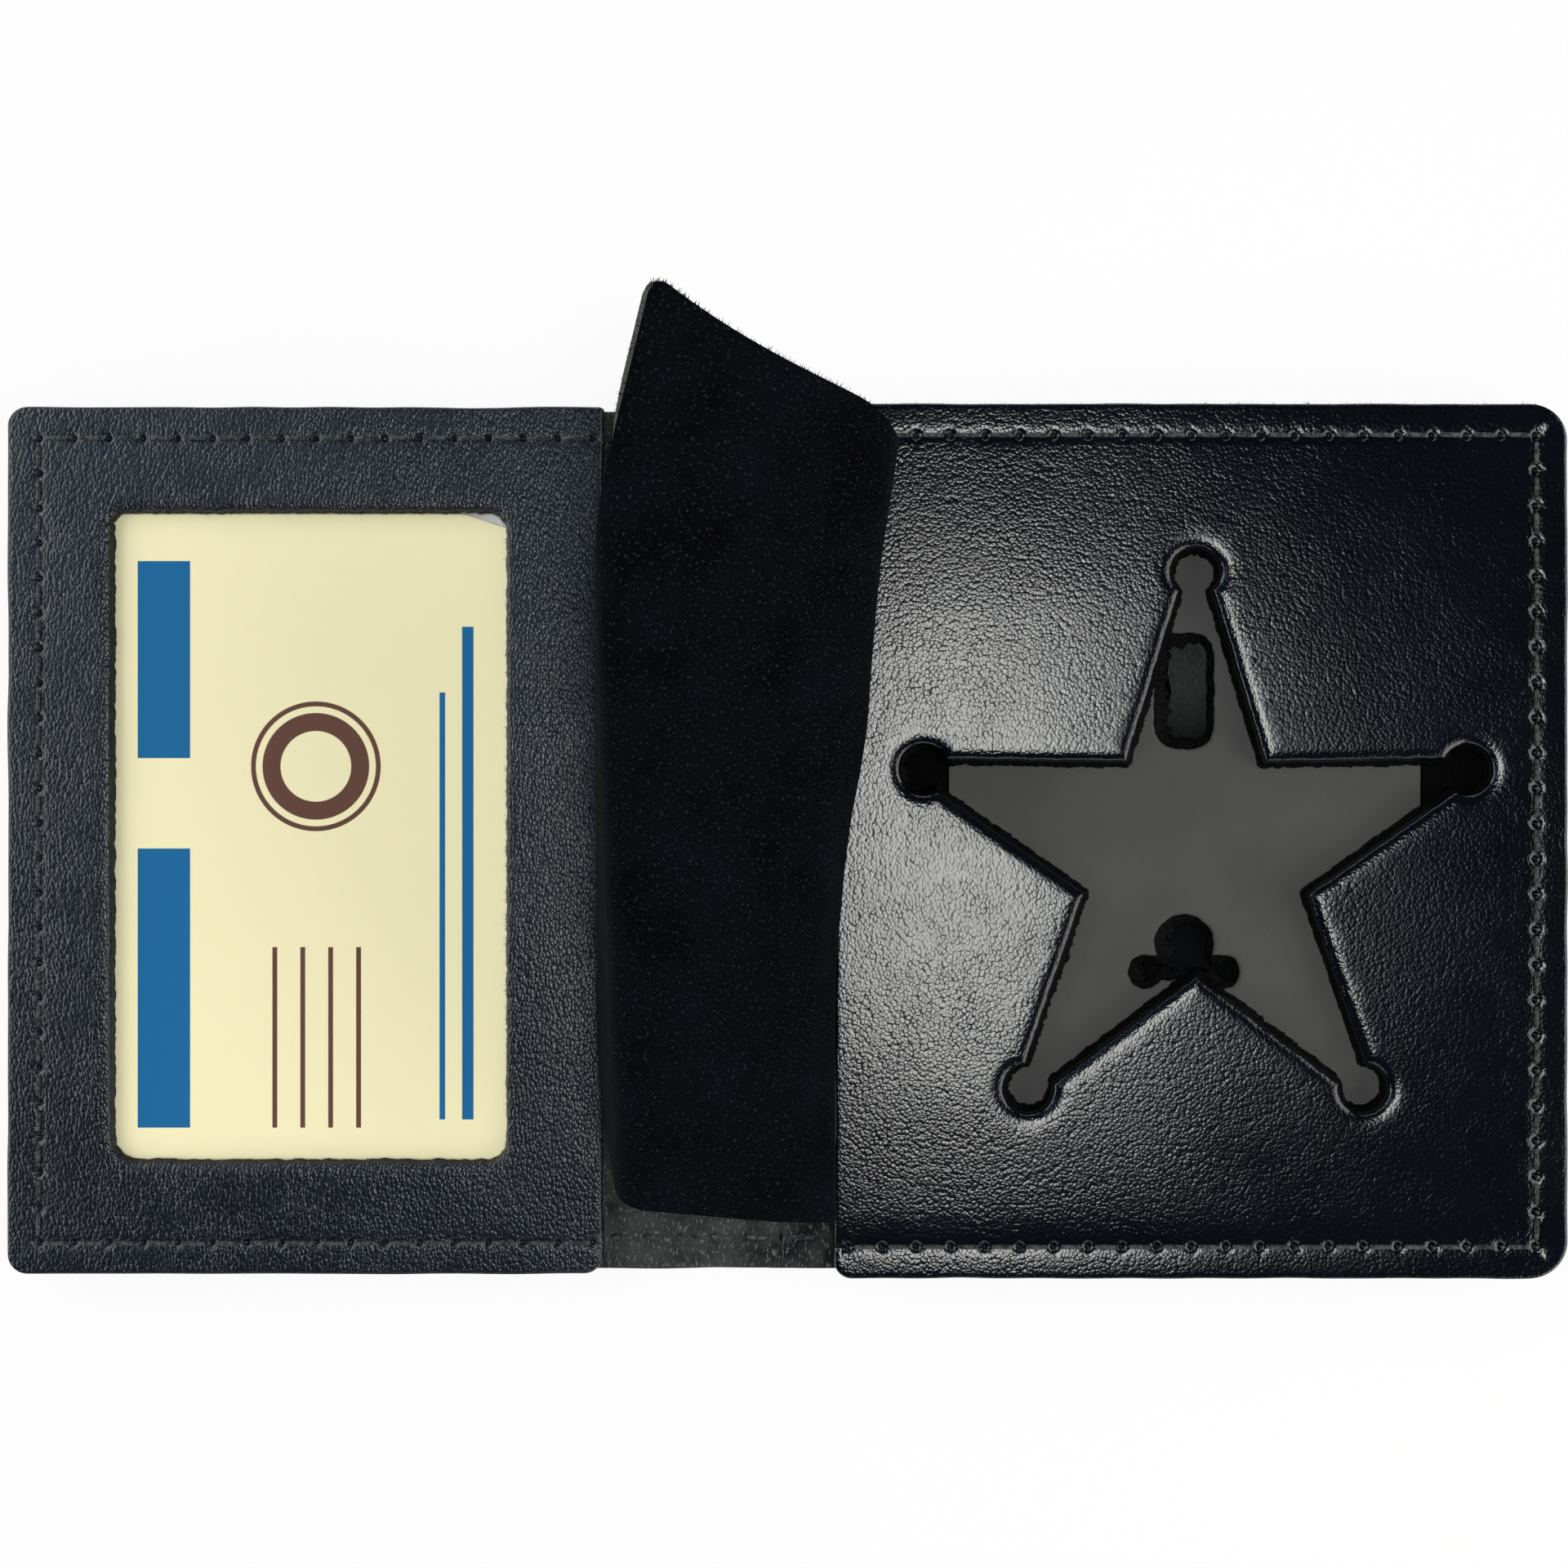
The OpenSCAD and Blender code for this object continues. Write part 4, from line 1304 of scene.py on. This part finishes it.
def make_world():
    world = bpy.data.worlds.new("world")
    bpy.context.scene.world = world
    world.use_nodes = True
    tree = world.node_tree
    tree.nodes.clear()
    show_camera(tree, "ShaderNodeOutputWorld", add_node(tree, "ShaderNodeLightPath", output="Is Camera Ray"),
                add_node(tree, "ShaderNodeBackground", {"Color": (0.8, 0.9, 1.0, 1), "Strength": 0.03}),
                add_node(tree, "ShaderNodeBackground", {"Color": (1, 1, 1, 1)}))


def area_light(name, place, size, power, target, colour=(1, 1, 1), shape="RECTANGLE"):
    data = bpy.data.lights.new(name, "AREA")
    data.shape = shape
    data.size, data.size_y = size
    data.energy = power
    data.color = colour
    lamp = bpy.data.objects.new(name, data)
    bpy.context.scene.collection.objects.link(lamp)
    lamp.location = place
    lamp.rotation_mode = "QUATERNION"
    lamp.rotation_quaternion = (Vector(target) - Vector(place)).to_track_quat("-Z", "Y")


def make_camera():
    data = bpy.data.cameras.new("camera")
    data.sensor_width = SENSOR_W
    data.lens = SENSOR_W * CAMERA_HEIGHT / FRAME_W
    data.clip_start, data.clip_end = 0.01, 20
    camera = bpy.data.objects.new("camera", data)
    bpy.context.scene.collection.objects.link(camera)
    camera.location = (0, CAMERA_Y * MM, CAMERA_HEIGHT * MM)
    bpy.context.scene.camera = camera


make_floor()
make_world()
# The window and its glow are what the badge panel reflects; the others are soft fill from all sides
area_light("window", (0.063, -0.014, 0.42), (0.092, 0.18), 0.56, (0.063, -0.014, 0), (1.0, 0.985, 0.93))
area_light("window_glow", (0.086, -0.012, 0.43), (0.222, 0.21), 0.29, (0.086, -0.012, 0), (0.9, 0.96, 1.0),
           "ELLIPSE")
area_light("sky", (-0.23, 0.16, 0.42), (0.26, 0.26), 0.17, (-0.05, 0.02, 0), (0.38, 0.68, 1.0))
area_light("front_fill", (0.0, -0.9, 0.40), (1.1, 0.3), 1.6, (0, 0, 0))
area_light("back_fill", (0.0, 0.9, 0.40), (1.1, 0.3), 1.6, (0, 0, 0))
area_light("left_fill", (-0.60, 0.12, 0.30), (0.9, 0.4), 4.2, (0, 0, 0), (1.0, 0.98, 0.94))
area_light("right_fill", (0.60, -0.12, 0.30), (0.9, 0.4), 3.7, (0, 0, 0), (1.0, 0.97, 0.92))
make_camera()
bpy.context.scene.view_settings.view_transform = "Standard"
